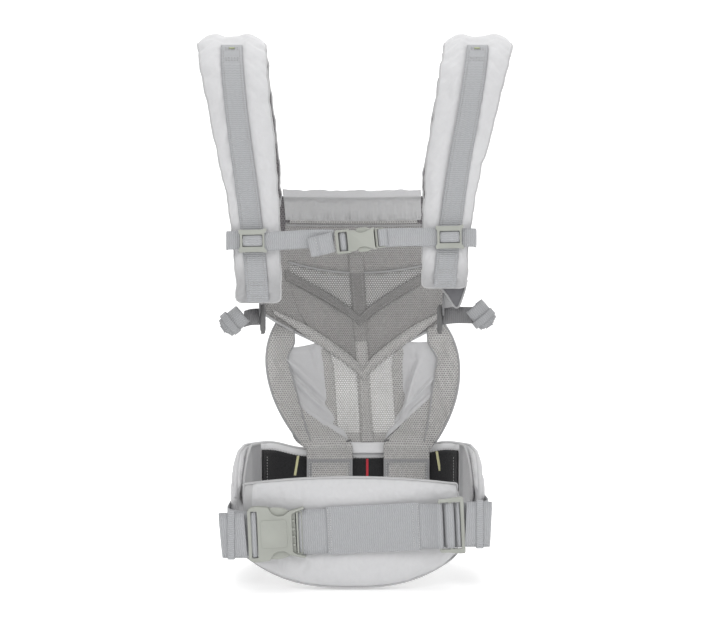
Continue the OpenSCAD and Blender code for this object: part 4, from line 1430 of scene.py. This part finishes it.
def build_waist_webbing():
    """From where it is sewn to the belt's sides to the buckle and to the slider."""
    side_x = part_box("left_waist_webbing")[0].x / MM
    plan = [(side_x + 0.6, 34), (side_x + 0.2, 0), (side_x, -40), (side_x + 1, -78), (side_x + 9, -98),
            (side_x + 20, -108), (female_centre[0] / MM - 18, female_centre[1] / MM + 2.2)]
    obj, path = webbing_strip("left_waist_band", plan, SEWN_Z["left"], waist.at(-41, 0)[2])
    join(obj, ROOT, "waist_female", path[24], path[62], "webbing", "left_waist_webbing")

    side_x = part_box("right_waist_webbing")[1].x / MM
    plan = [(side_x - 0.6, 34), (side_x - 0.2, 0), (side_x, -40), (side_x - 1, -80), (side_x - 9, -100),
            (side_x - 24, -109), (slider_centre[0] / MM + 6, slider_centre[1] / MM + 5.2),
            (slider_centre[0] / MM - 10, slider_centre[1] / MM + 5.6)]
    obj, path = webbing_strip("right_waist_band", plan, SEWN_Z["right"], slider_centre[2])
    place(obj, ROOT, "webbing", "right_waist_webbing")

    for name, side in SIDES.items():
        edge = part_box(f"{name}_waist_webbing")[side > 0].x + side * 0.1 * MM
        rows = [([(edge, y * MM, SEWN_Z[name] + dz * MM) for dz in np.linspace(-21, 21, 30)], (side, 0, 0))
                for y in (10, 13, 27, 30)]
        stitches(f"{name}_waist_stitching", rows, ROOT, "webbing")


def folded_tail(name, body, tilt_out):
    """The spare end of the waist webbing: out, round a soft fold and back."""
    side = SIDES[name]
    low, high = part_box(f"{name}_waist_tail")
    mid_z = (low.z + high.z) / 2
    tip, root = (low.x, high.x) if side < 0 else (high.x, low.x)
    y_back, y_front = high.y - 0.9 * MM, low.y + 0.9 * MM
    middle, bend = mix(root, tip, 0.5), tip - side * 2.5 * MM
    plan = [(root, y_back), (middle, y_back + 0.3 * MM), (bend, y_back - 0.2 * MM),
            (tip - side * 0.3 * MM, (y_back + y_front) / 2), (bend, y_front + 0.2 * MM),
            (middle, y_front - 0.3 * MM), (root, y_front)]
    path = smooth_path([(x, y, mid_z) for x, y in plan], 70)
    across = unit((-side * tilt_out, 0, 1))
    tape(f"{name}_waist_tail_fold", path, across, WAIST_WEB, WEB_THICK, WEBBING, body, f"{name}_waist_tail")
    hem = [np.array([mix(root, tip, 0.55) - side * tilt_out * dz * MM, low.y - 0.1 * MM, mid_z + dz * MM])
           for dz in np.linspace(-21, 21, 34)]
    stitches(f"{name}_waist_tail_fold_stitching", [(hem, VIEWER)], body, "webbing")


def boxy(c, power):
    """A sine or cosine pushed out towards 1 or -1, so that an oval gets squarer."""
    return math.copysign(abs(c) ** power, c)


def keeper(name, body):
    """An elastic band round the folded tail."""
    low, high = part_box(f"{name}_waist_keeper")
    middle, half = (low + high) / 2, (high - low) / 2
    loop = [(middle.x, middle.y + (half.y - 0.6 * MM) * boxy(math.cos(a), 0.35),
             middle.z + (half.z - 0.6 * MM) * boxy(math.sin(a), 0.2)) for a in np.linspace(0, math.tau, 61)]
    loop[-1] = loop[0]
    tape(f"{name}_waist_keeper_elastic", loop, (1, 0, 0), 7.5 * MM, 0.9 * MM, WEBBING, body,
         f"{name}_waist_keeper")


def wound(frame_at, *knots):
    """Points of webbing that winds towards and away from the viewer, from (x, near) pairs."""
    return [frame_at.at(x, 0, near) for x, near in knots]


def build_front_webbing():
    """The band across the pad, from the buckle's male half to the slider, and the pad's sleeve round it."""
    left = waist.at(10.5, 0, 0.6)
    right = waist_slider.at(-24, 0, -2.8)
    path = [nearer(mix(left, right, k), -0.3 * MM * wave(k * 4, 2.0)) for k in np.linspace(0, 1, 14)]
    path += wound(waist_slider, (-17, 0.6), (-13.5, 3.4), (-10.4, 3.3), (-9.0, 0.6), (-8.6, -3.0))
    band = ribbon("waist_front_band", smooth_path(path, 130), waist.up, WAIST_WEB, WEB_THICK, WEBBING)
    join(band, ROOT, "waist_adjuster", waist_slider.at(-95, 0), waist_slider.at(-24, 0), "webbing",
         "waist_front_webbing")

    sleeve_at = Tilted(box_centre("lumbar_sleeve"), WAIST_TILT).at
    loop = [(2.0 * boxy(math.cos(a), 0.4), 25.2 * boxy(math.sin(a), 0.12))
            for a in np.linspace(3 * math.pi, math.pi, 81)]
    grid = np.array([[sleeve_at(x, up, near) for near, up in loop] for x in np.linspace(-50, 50, 40)])
    sleeve = slab("lumbar_sleeve_band", grid, 0.35 * MM, 0.35 * MM, [WEBBING])
    place(sleeve, "lumbar_pad", "webbing", "lumbar_sleeve")
    rows = [([sleeve_at(x, z, 2.5) for z in np.linspace(-24, 24, 40)], VIEWER)
            for x in (-48.5, -46, 43, 48.5)]
    stitches("lumbar_sleeve_stitching", rows, "lumbar_pad", "webbing", pitch=2.6 * MM, length=1.8 * MM)


build_waist_webbing()
for name, body, tilt_out in (("left", "waist_female", -0.09), ("right", ROOT, -0.05)):
    folded_tail(name, body, tilt_out)
    keeper(name, body)
build_front_webbing()


# ---------------------------------------------------------------- side webbing and chest strap

def build_side_webbing(name):
    """From the wing's tip to the strap's foot, sagging a little."""
    side = SIDES[name]
    low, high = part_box(f"{name}_side_webbing")
    z = (low.z + high.z) / 2
    near_x, far_x = (high.x, low.x) if side < 0 else (low.x, high.x)

    def along(k, drop):
        return mix(near_x, far_x, k), mix(low.y, high.y, k), z - drop * MM

    path = smooth_path([(near_x, low.y - 6 * MM, z + 3 * MM), along(0.3, -0.5), along(0.7, 1.5),
                        (far_x, high.y, z - 2 * MM),
                        (far_x - side * 2 * MM, high.y + 12 * MM, z - 2 * MM)], 80)
    obj = ribbon(f"{name}_side_band", path, (0, 0, 1), SIDE_WEB, WEB_THICK, DARK_WEBBING)
    join(obj, f"{name}_strap", ROOT, path[14], path[60], "webbing", f"{name}_side_webbing")


def build_roll(name):
    """The spare side webbing, wound up and held by an elastic loop."""
    side = SIDES[name]
    centre = box_centre(f"{name}_webbing_roll")
    tilt = math.radians(50 if side < 0 else -40)
    axis = np.array([math.sin(tilt), 0, math.cos(tilt)])
    across = np.array([math.cos(tilt), 0, -math.sin(tilt)])
    body = f"{name}_adjuster"
    turns = 3.2

    def around(a, r, slip):
        return centre - axis * slip + across * r * math.cos(a) + np.array([0, r * math.sin(a), 0])

    path = [around(t * turns * math.tau, mix(3.2, 12.0, t) * MM, 4.5 * MM * (1 - t) ** 1.5)
            for t in np.linspace(0, 1, 150)]
    # The darker webbing of the roll is painted shade.
    tape(f"{name}_webbing_coil", path, axis, SIDE_WEB, WEB_THICK, ROLL_WEBBING_PAINTED_SHADE, body, f"{name}_webbing_roll")
    ring = [around(a, 13.2 * MM, 5 * MM) for a in np.linspace(0, math.tau, 49)]
    tape(f"{name}_roll_elastic", ring, axis, 8 * MM, 0.7 * MM, ROLL_WEBBING_PAINTED_SHADE, body)
    start = box_centre(f"{name}_ladder_lock") + np.array([side * 2.5 * MM, -6 * MM, 3 * MM])
    toward = centre - start
    reach = 0.62 if side < 0 else 0.8
    bend = start + toward * 0.35 + np.array([0, 2 * MM, 1 * MM])
    link = smooth_path([start, bend, start + toward * reach], 24)
    tape(f"{name}_adjuster_tail", link, (0, 0.25, 1), 18 * MM, 1.4 * MM, DARK_WEBBING, body)


def build_foot_gusset(name):
    """The cloth triangle under the strap's foot that the side webbing is sewn into, its dark colour painted
    shade.
    """
    strap = straps[name]
    body = f"{name}_strap"
    foot = strap.point(0) + np.array([0, 5 * MM, 0])
    tip = foot + np.array([14, 4, -21]) * MM
    inner = foot + np.array([-10, 0, 8]) * MM
    outer = foot + np.array([25, 0, 8]) * MM
    aside = np.array([2 * MM, 0, 0])

    def point(u, v):
        return mix(mix(tip - aside, tip + aside, u), mix(inner, outer, u), v)

    obj = slab(f"{name}_foot_gusset", surface(point, 12, 16), 0.9 * MM, 0.9 * MM, [CLOTH_DARK])
    place(obj, body, "padded_fabric")
    below = tip + np.array([0, 0, -1 * MM])
    rim = smooth_path([inner, mix(inner, tip, 0.5), below, mix(tip, outer, 0.5) + aside, outer], 60)
    cord(f"{name}_foot_gusset_cord", nearer(rim, 1 * MM), 1.1 * MM, BINDING, body, "padded_fabric")


for name in SIDES:
    build_side_webbing(name)
    build_roll(name)
build_foot_gusset("right")

# The frame at the chest buckle's mouth.
chest = Tilted(Tilted(box_centre("chest_buckle_female"), CHEST_TILT).at(20.5, 0), CHEST_TILT)


def build_chest_webbing():
    """Both halves of the chest webbing, and the loose end with its folded hem."""
    low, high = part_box("left_chest_webbing")
    half = (high.x - low.x) / 2 / MM
    at = Tilted((low + high) / 2, CHEST_TILT).at
    path = [at(-half + 6, -1.4, 0), at(-half + 22, -1.8, 1.2), at(-half * 0.2, -0.6, 2.2),
            at(half * 0.5, 0.8, 1.4), at(half - 1, 0.4, 1.6)]
    tape("left_chest_band", smooth_path(path, 90), chest.up, CHEST_WEB, 1.3 * MM, WEBBING, "chest_strap",
         "left_chest_webbing")

    low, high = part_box("right_chest_webbing")
    half = (high.x - low.x) / 2 / MM
    at = Tilted((low + high) / 2, CHEST_TILT).at
    path = [at(-half - 6, 0.4, 2.0), at(-half * 0.6, 0.8, 0.8), at(-half * 0.25, 0.8, 0.2),
            at(half * 0.4, 0.2, 0.2), at(half - 2, -0.4, 0.2)]
    tape("right_chest_band", smooth_path(path, 80), chest.up, CHEST_WEB, 1.3 * MM, WEBBING, "chest_male",
         "right_chest_webbing")

    tail = Tilted(box_centre("chest_webbing_tail"), math.radians(13))
    path = smooth_path([tail.at(13, 0.5, 1.2)] + wound(tail, (6, 3.4), (-3, 3.0), (-11, 1.8)), 40)
    tape("chest_tail_band", path, tail.up, CHEST_WEB + 1.5 * MM, 1.2 * MM, WEBBING, "chest_strap",
         "chest_webbing_tail")
    hem_path = wound(tail, (-3.5, 3.9), (-8, 4.0), (-12, 3.2), (-13, 1.6), (-11, 0.4), (-5, 0.4))
    hem_path = smooth_path(hem_path, 40)
    tape("chest_tail_hem", hem_path, tail.up, CHEST_WEB + 0.6 * MM, 1.2 * MM, WEBBING, "chest_strap")
    row = [tail.at(-5, z, 4.9) for z in np.linspace(-8.5, 8.5, 20)]
    stitches("chest_tail_stitching", [(row, VIEWER)], "chest_strap", "webbing")


def build_chest_loop(name):
    """Webbing from the slider round the strap's outer edge."""
    side = SIDES[name]
    low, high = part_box("chest_strap_loops")
    edge = high.x if side > 0 else low.x
    z = mix(low.z, high.z, 0.5) + side * 1.5 * MM
    front_y = low.y + 0.7 * MM
    inner = box_centre(f"{name}_chest_slider")[0]
    plan = [(inner - side * 6 * MM, front_y + 0.5 * MM), (mix(inner, edge, 0.6), front_y),
            (edge - side * 3 * MM, front_y + 0.8 * MM), (edge - side * 0.4 * MM, front_y + 6 * MM),
            (edge, front_y + 14 * MM), (edge - side * 1 * MM, high.y - 1 * MM)]
    path = smooth_path([(x, y, z) for x, y in plan], 60)
    tape(f"{name}_chest_loop", path, (0, 0.04, 1), CHEST_WEB, 1.2 * MM, WEBBING, "chest_strap",
         "chest_strap_loops")


build_chest_webbing()
for name in SIDES:
    build_chest_loop(name)


# ---------------------------------------------------------------- moulded pieces

def fillet(corners, steps=5):
    """Rounds the corners of a closed outline of (x, z, radius) points."""
    out = []
    for i, (x, z, r) in enumerate(corners):
        here = np.array([x, z], float)
        if r <= 0:
            out.append(here)
            continue
        before = np.array(corners[i - 1][:2], float) - here
        after = np.array(corners[(i + 1) % len(corners)][:2], float) - here
        reach = min(r, 0.48 * np.linalg.norm(before), 0.48 * np.linalg.norm(after))
        a, b = here + unit(before) * reach, here + unit(after) * reach
        for t in np.linspace(0, 1, steps + 1):
            out.append((1 - t) ** 2 * a + 2 * t * (1 - t) * here + t * t * b)
    return out


def box_outline(x0, x1, z0, z1, r):
    """A rectangle with rounded corners."""
    return fillet([(x0, z0, r), (x1, z0, r), (x1, z1, r), (x0, z1, r)])


def plate(name, outlines, near, far, at, material=PLASTIC, bevel=0.7):
    """A moulded plate between two depths, from an outside outline and its openings, in millimetres."""
    mesh_data = bmesh.new()
    edges = []
    for outline in outlines:
        ring = [mesh_data.verts.new((p[0], -near, p[1])) for p in outline]
        edges += [mesh_data.edges.new((a, b)) for a, b in zip(ring, ring[1:] + ring[:1])]
    bmesh.ops.triangle_fill(mesh_data, use_beauty=True, use_dissolve=False, edges=edges)
    bmesh.ops.dissolve_limit(mesh_data, angle_limit=0.01, verts=[], edges=mesh_data.edges[:])
    made = bmesh.ops.extrude_face_region(mesh_data, geom=mesh_data.faces[:])
    moved = [g for g in made["geom"] if isinstance(g, bmesh.types.BMVert)]
    bmesh.ops.translate(mesh_data, verts=moved, vec=(0, near - far, 0))
    bmesh.ops.recalc_face_normals(mesh_data, faces=mesh_data.faces[:])
    for vertex in mesh_data.verts:
        vertex.co = Vector(at(vertex.co.x, vertex.co.z, -vertex.co.y))
    mesh = bpy.data.meshes.new(name)
    mesh_data.to_mesh(mesh)
    mesh_data.free()
    mesh.materials.append(material)
    obj = smooth_object(name, mesh)
    modifier = obj.modifiers.new("edges", "BEVEL")
    modifier.width = bevel * MM
    modifier.segments = 3
    modifier.limit_method = "ANGLE"
    modifier.angle_limit = math.radians(38)
    modifier.harden_normals = True
    return obj


def mirrored(points):
    """Top half of an outline, from left to right, closed by its mirror image below."""
    return points + [(x, -z, r) for x, z, r in reversed(points)]


def mould(name, outlines, near, far, frame_at, body, *nodes, **looks):
    """A plate in a tilted frame, placed on its body; looks go to plate()."""
    place(plate(name, outlines, near, far, frame_at.at, **looks), body, "buckle_plastic", *nodes)


def build_prongs(kind, frame_at, button, button_half, button_bevel, arm, arm_half, arm_bevel):
    """The upper and lower side-release buttons of a buckle, each with its springy arm."""
    for name, sign in (("upper", 1), ("lower", -1)):
        body = f"{kind}_{name}_prong"
        outline = fillet([(x, sign * z, r) for x, z, r in button])
        mould(f"{kind}_{name}_button", [outline], button_half, -button_half, frame_at, body,
              f"{kind}_prong_{name}", bevel=button_bevel)
        outline = fillet([(x, sign * z, r) for x, z, r in arm])
        mould(f"{kind}_{name}_arm", [outline], arm_half, -arm_half, frame_at, body, bevel=arm_bevel)


def build_waist_buckle():
    """The wide side-release buckle: scalloped plates, a slotted end, arms and buttons."""
    top = [(-46, 26, 3), (-42, 29.3, 2), (-36, 29.8, 2), (-26, 28.8, 2), (-23, 28.3, 1.5), (-20.5, 22.5, 3),
           (-15, 18.8, 4), (-7, 18.8, 4), (-1, 23.6, 3), (6, 25.2, 3), (15, 27.6, 0.8), (15, 25.4, 0.8),
           (6, 22.8, 2), (1.6, 20.5, 2)]
    outside = fillet(mirrored(top))
    slot = box_outline(-42.4, -35.6, -25, 25, 1.2)
    female = "waist_female"
    core = fillet(mirrored([(-45.4, 25.4, 3), (-41, 28.2, 2), (-27.5, 28.0, 1.5)]))
    mould("waist_buckle_front", [outside, slot], 6.2, 2.9, waist, female, "waist_buckle_female", bevel=1.1)
    mould("waist_buckle_back", [outside, slot], -2.9, -5.3, waist, female)
    mould("waist_buckle_core", [core, slot], 2.9, -2.9, waist, female, bevel=0.3)
    mould("waist_buckle_panel", [box_outline(-32, -4, -15, 15, 4)], 6.9, 6.0, waist, female, bevel=0.4)
    roll = [waist.at(-39.6 + 2.4 * math.cos(a), 0, 3.6 + 2.2 * math.sin(a))
            for a in np.linspace(-0.4, math.pi + 0.4, 20)]
    tape("waist_buckle_wrap", roll, waist.up, WAIST_WEB, 1.4 * MM, WEBBING, female)

    base = fillet(mirrored([(0.6, 20.0, 1), (2.2, 23.5, 1.5), (12.5, 23.5, 2)]))
    opening = box_outline(5.4, 10.4, -21.5, 21.5, 1)
    mould("waist_buckle_male_base", [base, opening], 2.4, -4.6, waist, ROOT, "waist_buckle_male", bevel=0.8)
    mould("waist_buckle_bar", [box_outline(6.2, 8.4, -22.6, 22.6, 1)], 4.3, 1.4, waist, ROOT, bevel=0.8)
    mould("waist_buckle_tongue", [box_outline(-33, 2.0, -7, 7, 2)], 2.3, -2.3, waist, ROOT, bevel=0.6)
    for row, z in enumerate((-13, -4, 4, 13)):
        rib = box_outline(0.9, 4.6, z - 1.1, z + 1.1, 0.4)
        mould(f"waist_buckle_rib_{row}", [rib], 4.2, 2.35, waist, ROOT, bevel=0.4)
    wrap = [waist.at(10.6 + 1.9 * math.cos(a), 0, 2.6 * math.sin(a))
            for a in np.linspace(1.2, math.pi + 0.9, 16)]
    tape("waist_male_wrap", wrap, waist.up, WAIST_WEB - 5 * MM, 1.4 * MM, WEBBING, ROOT)

    button = [(-22.4, 27.6, 1), (-14, 27.9, 4), (-7, 26.6, 4), (-1.6, 24.0, 1), (-2.0, 20, 1), (-12, 17.4, 3),
              (-21.5, 19.6, 1)]
    arm = [(-33, 14.5, 1), (-33, 18.8, 1), (-4, 18.8, 1), (1.8, 20.5, 0.6), (1.8, 14.5, 0.6)]
    build_prongs("waist", waist, button, 2.6, 0.9, arm, 2.2, 0.4)


def build_waist_slider():
    """The webbing slider with swept ears, seen at the right of the waist."""
    top = [(-13, 25.2, 2), (-12, 28.6, 2), (-2, 28.8, 2), (6, 30.2, 2), (14.4, 30.4, 2), (14.8, 25, 2)]
    outside = fillet(mirrored(top))
    slots = [box_outline(x0, x1, -25, 25, 1) for x0, x1 in ((-10.4, -1.4), (1.4, 10.8))]
    body = "waist_adjuster"
    mould("waist_slider_frame", [outside] + slots, 2.7, -2.3, waist_slider, body, "waist_slider", bevel=1.2)
    centre = ((3.4, -2.8), (3.2, 0.6), (1.4, 3.0), (-1.6, 3.2), (-4.2, 2.2), (-5.6, -0.4), (-6.0, -3.0))
    outer = ((6.2, -3.0), (6.6, -0.6), (8.2, 1.2), (9.6, 0.6), (10.0, -2.6))
    for label, knots in (("centre", centre), ("outer", outer)):
        path = smooth_path(wound(waist_slider, *knots), 36)
        tape(f"waist_slider_{label}_wrap", path, waist_slider.up, WAIST_WEB, 1.3 * MM, WEBBING, body)


def build_chest_slider(name):
    """A small slider with level slots above and below its webbing."""
    frame_at = Tilted(box_centre(f"{name}_chest_slider"), CHEST_TILT)
    ear = fillet([(-15.2, 9, 1), (-14.6, 12.6, 1.5), (-10.6, 11.8, 2), (10.6, 11.8, 2), (14.8, 13.6, 1.5),
                  (15.6, 10.6, 1.2), (12.8, 8, 2), (12.8, -8, 2), (16.0, -11.2, 1.2), (14.8, -13.4, 1.5),
                  (10.6, -12.4, 2), (-10.6, -12.4, 2), (-14.6, -13.0, 1.5), (-15.2, -9.2, 1), (-13.4, -7, 2),
                  (-13.4, 7, 2)])
    slots = [box_outline(-10.8, 10.8, z0, z1, 0.8) for z0, z1 in ((1.9, 6.4), (-6.6, -2.1))]
    mould(f"{name}_chest_slider_frame", [ear] + slots, 1.9, -1.6, frame_at, "chest_strap",
          f"{name}_chest_slider", bevel=0.8)
    knots = ((5.6, -2.4), (5.3, 0.4), (3.4, 2.3), (0, 2.9), (-3.4, 2.3), (-5.4, 0.4), (-5.8, -2.4))
    path = smooth_path([frame_at.at(0, z, near) for z, near in knots], 30)
    tape(f"{name}_chest_slider_wrap", path, frame_at.right, 20.4 * MM, 1.2 * MM, WEBBING, "chest_strap")


def build_chest_buckle():
    """The small side-release buckle, tipped up to the right."""
    tip = Tilted(chest.origin, CHEST_TILT + math.radians(5))
    top = [(-41, 11.4, 1.5), (-40, 12.6, 1.5), (-26, 12.8, 1.5), (-24.5, 10.8, 1), (-20, 11.4, 2),
           (-16.5, 8.2, 2.5), (-10, 7.4, 3), (-4.5, 9.8, 3), (0.5, 11.8, 1), (2.4, 11.6, 0.8), (1.2, 8, 1.5)]
    outside = fillet(mirrored(top))
    slot = box_outline(-37.6, -28.2, -10.4, 10.4, 1)
    body, male = "chest_strap", "chest_male"
    core = fillet(mirrored([(-40.6, 11, 1.5), (-39.6, 12.2, 1.5), (-24, 11.6, 1)]))
    mould("chest_buckle_front", [outside, slot], 4.6, 2.1, tip, body, "chest_buckle_female", bevel=0.9)
    mould("chest_buckle_back", [outside, slot], -2.1, -4.3, tip, body)
    mould("chest_buckle_core", [core, slot], 2.1, -2.1, tip, body, bevel=0.2)
    knots = wound(tip, (-37.0, -2.4), (-36.4, 0.6), (-34.6, 2.4), (-32.9, 2.7), (-31.0, 2.2), (-29.4, 0.2),
                  (-28.9, -2.4))
    wrap = smooth_path(knots, 28)
    tape("chest_buckle_wrap", wrap, tip.up, CHEST_WEB, 1.2 * MM, WEBBING, body)
    base = fillet(mirrored([(0.8, 7.4, 1), (3.0, 10.6, 1), (12, 10.8, 1.5)]))
    opening = box_outline(4.4, 8.8, -9.4, 9.4, 0.8)
    mould("chest_buckle_male_base", [base, opening], 2.6, -2.6, tip, male, "chest_buckle_male")
    mould("chest_buckle_tongue", [box_outline(-25, 2, -3, 3, 1)], 1.7, -1.7, tip, male, bevel=0.4)
    wrap = smooth_path(wound(tip, (5.0, -2.6), (5.6, 1.6), (7.6, 3.3), (11.0, 3.0), (14.5, 0.6)), 24)
    tape("chest_male_wrap", wrap, tip.up, CHEST_WEB - 1.6 * MM, 1.2 * MM, WEBBING, male)
    button = [(-18, 11.2, 0.8), (-16, 13.0, 1), (-7, 13.0, 1.5), (-3.2, 10.8, 0.8), (-3.4, 8.4, 0.8),
              (-10, 7.4, 1), (-18, 8.4, 0.8)]
    arm = [(-23, 5.0, 0.8), (-23, 7.6, 0.8), (-2, 7.6, 0.8), (1.8, 7.4, 0.4), (1.8, 5.0, 0.4)]
    build_prongs("chest", tip, button, 1.9, 0.7, arm, 1.5, 0.3)


def build_ladder_lock(name):
    """The slider at the strap's foot, seen edge on beside the side webbing."""
    side = SIDES[name]
    centre = box_centre(f"{name}_ladder_lock")

    def at(x, z, near=0.0):
        return centre + np.array([side * near, -x, z]) * MM

    outside = fillet([(-10, -15.5, 2), (9.4, -15.5, 2), (11.6, -16.4, 1.2), (11.6, 16.4, 1.2), (9.4, 15.5, 2),
                      (-10, 15.5, 2)])
    slots = [box_outline(x0, x1, -13.2, 13.2, 0.8) for x0, x1 in ((-7.4, -2.2), (1.8, 7.0))]
    obj = plate(f"{name}_ladder_lock_frame", [outside] + slots, 1.8, -1.7, at, PLASTIC_DARK)
    place(obj, f"{name}_adjuster", "buckle_plastic", f"{name}_ladder_lock")
    knots = ((6.4, -2.2), (5.4, 0.4), (3.0, 2.4), (0, 2.9), (-3.0, 2.3), (-5.6, 0.2), (-6.6, -2.2))
    path = smooth_path([at(x, 0, near) for x, near in knots], 26)
    tape(f"{name}_ladder_lock_wrap", path, (0, 0, 1), SIDE_WEB, 1.3 * MM, DARK_WEBBING, f"{name}_adjuster")


build_waist_buckle()
build_waist_slider()
build_chest_buckle()
for name in SIDES:
    build_chest_slider(name)
    build_ladder_lock(name)


# ---------------------------------------------------------------- stage, light and camera

FLOOR_SIZE = 6.0
BEND_START_Y, BEND_R = 1.2, 0.9
CAMERA_AT = (0.0, -1.71, 0.299)
LENS = 75.1
LIGHTS_AT = (0.0, 0.0, 0.3)
WORLD_LIGHT = 0.52


def build_stage():
    """A white floor that curves up into a backdrop."""
    floor_mesh = bpy.data.meshes.new("floor")
    bend = [(BEND_START_Y + BEND_R * math.sin(a), BEND_R - BEND_R * math.cos(a))
            for a in np.linspace(0, math.pi / 2, 16)]
    curve = [(-FLOOR_SIZE, 0.0), *bend, (BEND_START_Y + BEND_R, FLOOR_SIZE)]
    floor_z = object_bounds()[0].z - 2 * MM
    points = [(x, y, z + floor_z) for x in (-FLOOR_SIZE, FLOOR_SIZE) for y, z in curve]
    count = len(curve)
    faces = [(i + count, i + 1 + count, i + 1, i) for i in range(count - 1)]
    floor_mesh.from_pydata(points, [], faces)
    n = Nodes("floor_white")
    n.set(Base_Color=(0.92, 0.92, 0.92, 1), Roughness=0.9, Emission_Color=(1, 1, 1, 1),
          Emission_Strength=0.28)
    floor_mesh.materials.append(n.material)
    smooth_object("floor", floor_mesh)


def build_lights():
    """Four soft lights and a white world, dimmed for everything but the camera."""
    for name, place_at, power, size in (
            ("key", (-0.9, -2.0, 1.9), 21, 1.5), ("fill", (1.6, -1.6, 0.9), 12, 1.8),
            ("top", (0.0, 0.3, 2.3), 20, 1.4), ("back", (0.3, 2.0, 1.2), 6, 1.6)):
        data = bpy.data.lights.new(name, "AREA")
        data.energy = power
        data.size = size
        light = bpy.data.objects.new(name, data)
        light.location = place_at
        light.rotation_euler = (Vector(LIGHTS_AT) - Vector(place_at)).to_track_quat("-Z", "Y").to_euler()
        bpy.context.scene.collection.objects.link(light)
    world = bpy.data.worlds.new("studio")
    world.use_nodes = True
    tree = world.node_tree
    background = tree.nodes["Background"]
    background.inputs["Color"].default_value = (1.0, 1.0, 1.0, 1)
    level = tree.nodes.new("ShaderNodeMapRange")
    level.inputs["To Min"].default_value = WORLD_LIGHT
    tree.links.new(tree.nodes.new("ShaderNodeLightPath").outputs["Is Camera Ray"], level.inputs["Value"])
    tree.links.new(level.outputs[0], background.inputs["Strength"])
    bpy.context.scene.world = world
    bpy.context.scene.view_settings.view_transform = "Standard"


def build_camera():
    """Level, behind the wearer, far enough for the photograph's mild perspective."""
    data = bpy.data.cameras.new("camera")
    data.sensor_width = 36.0
    data.lens = LENS
    camera = bpy.data.objects.new("camera", data)
    camera.location = CAMERA_AT
    camera.rotation_euler = (math.pi / 2, 0.0, 0.0)
    bpy.context.scene.collection.objects.link(camera)
    bpy.context.scene.camera = camera


build_stage()
build_lights()
build_camera()
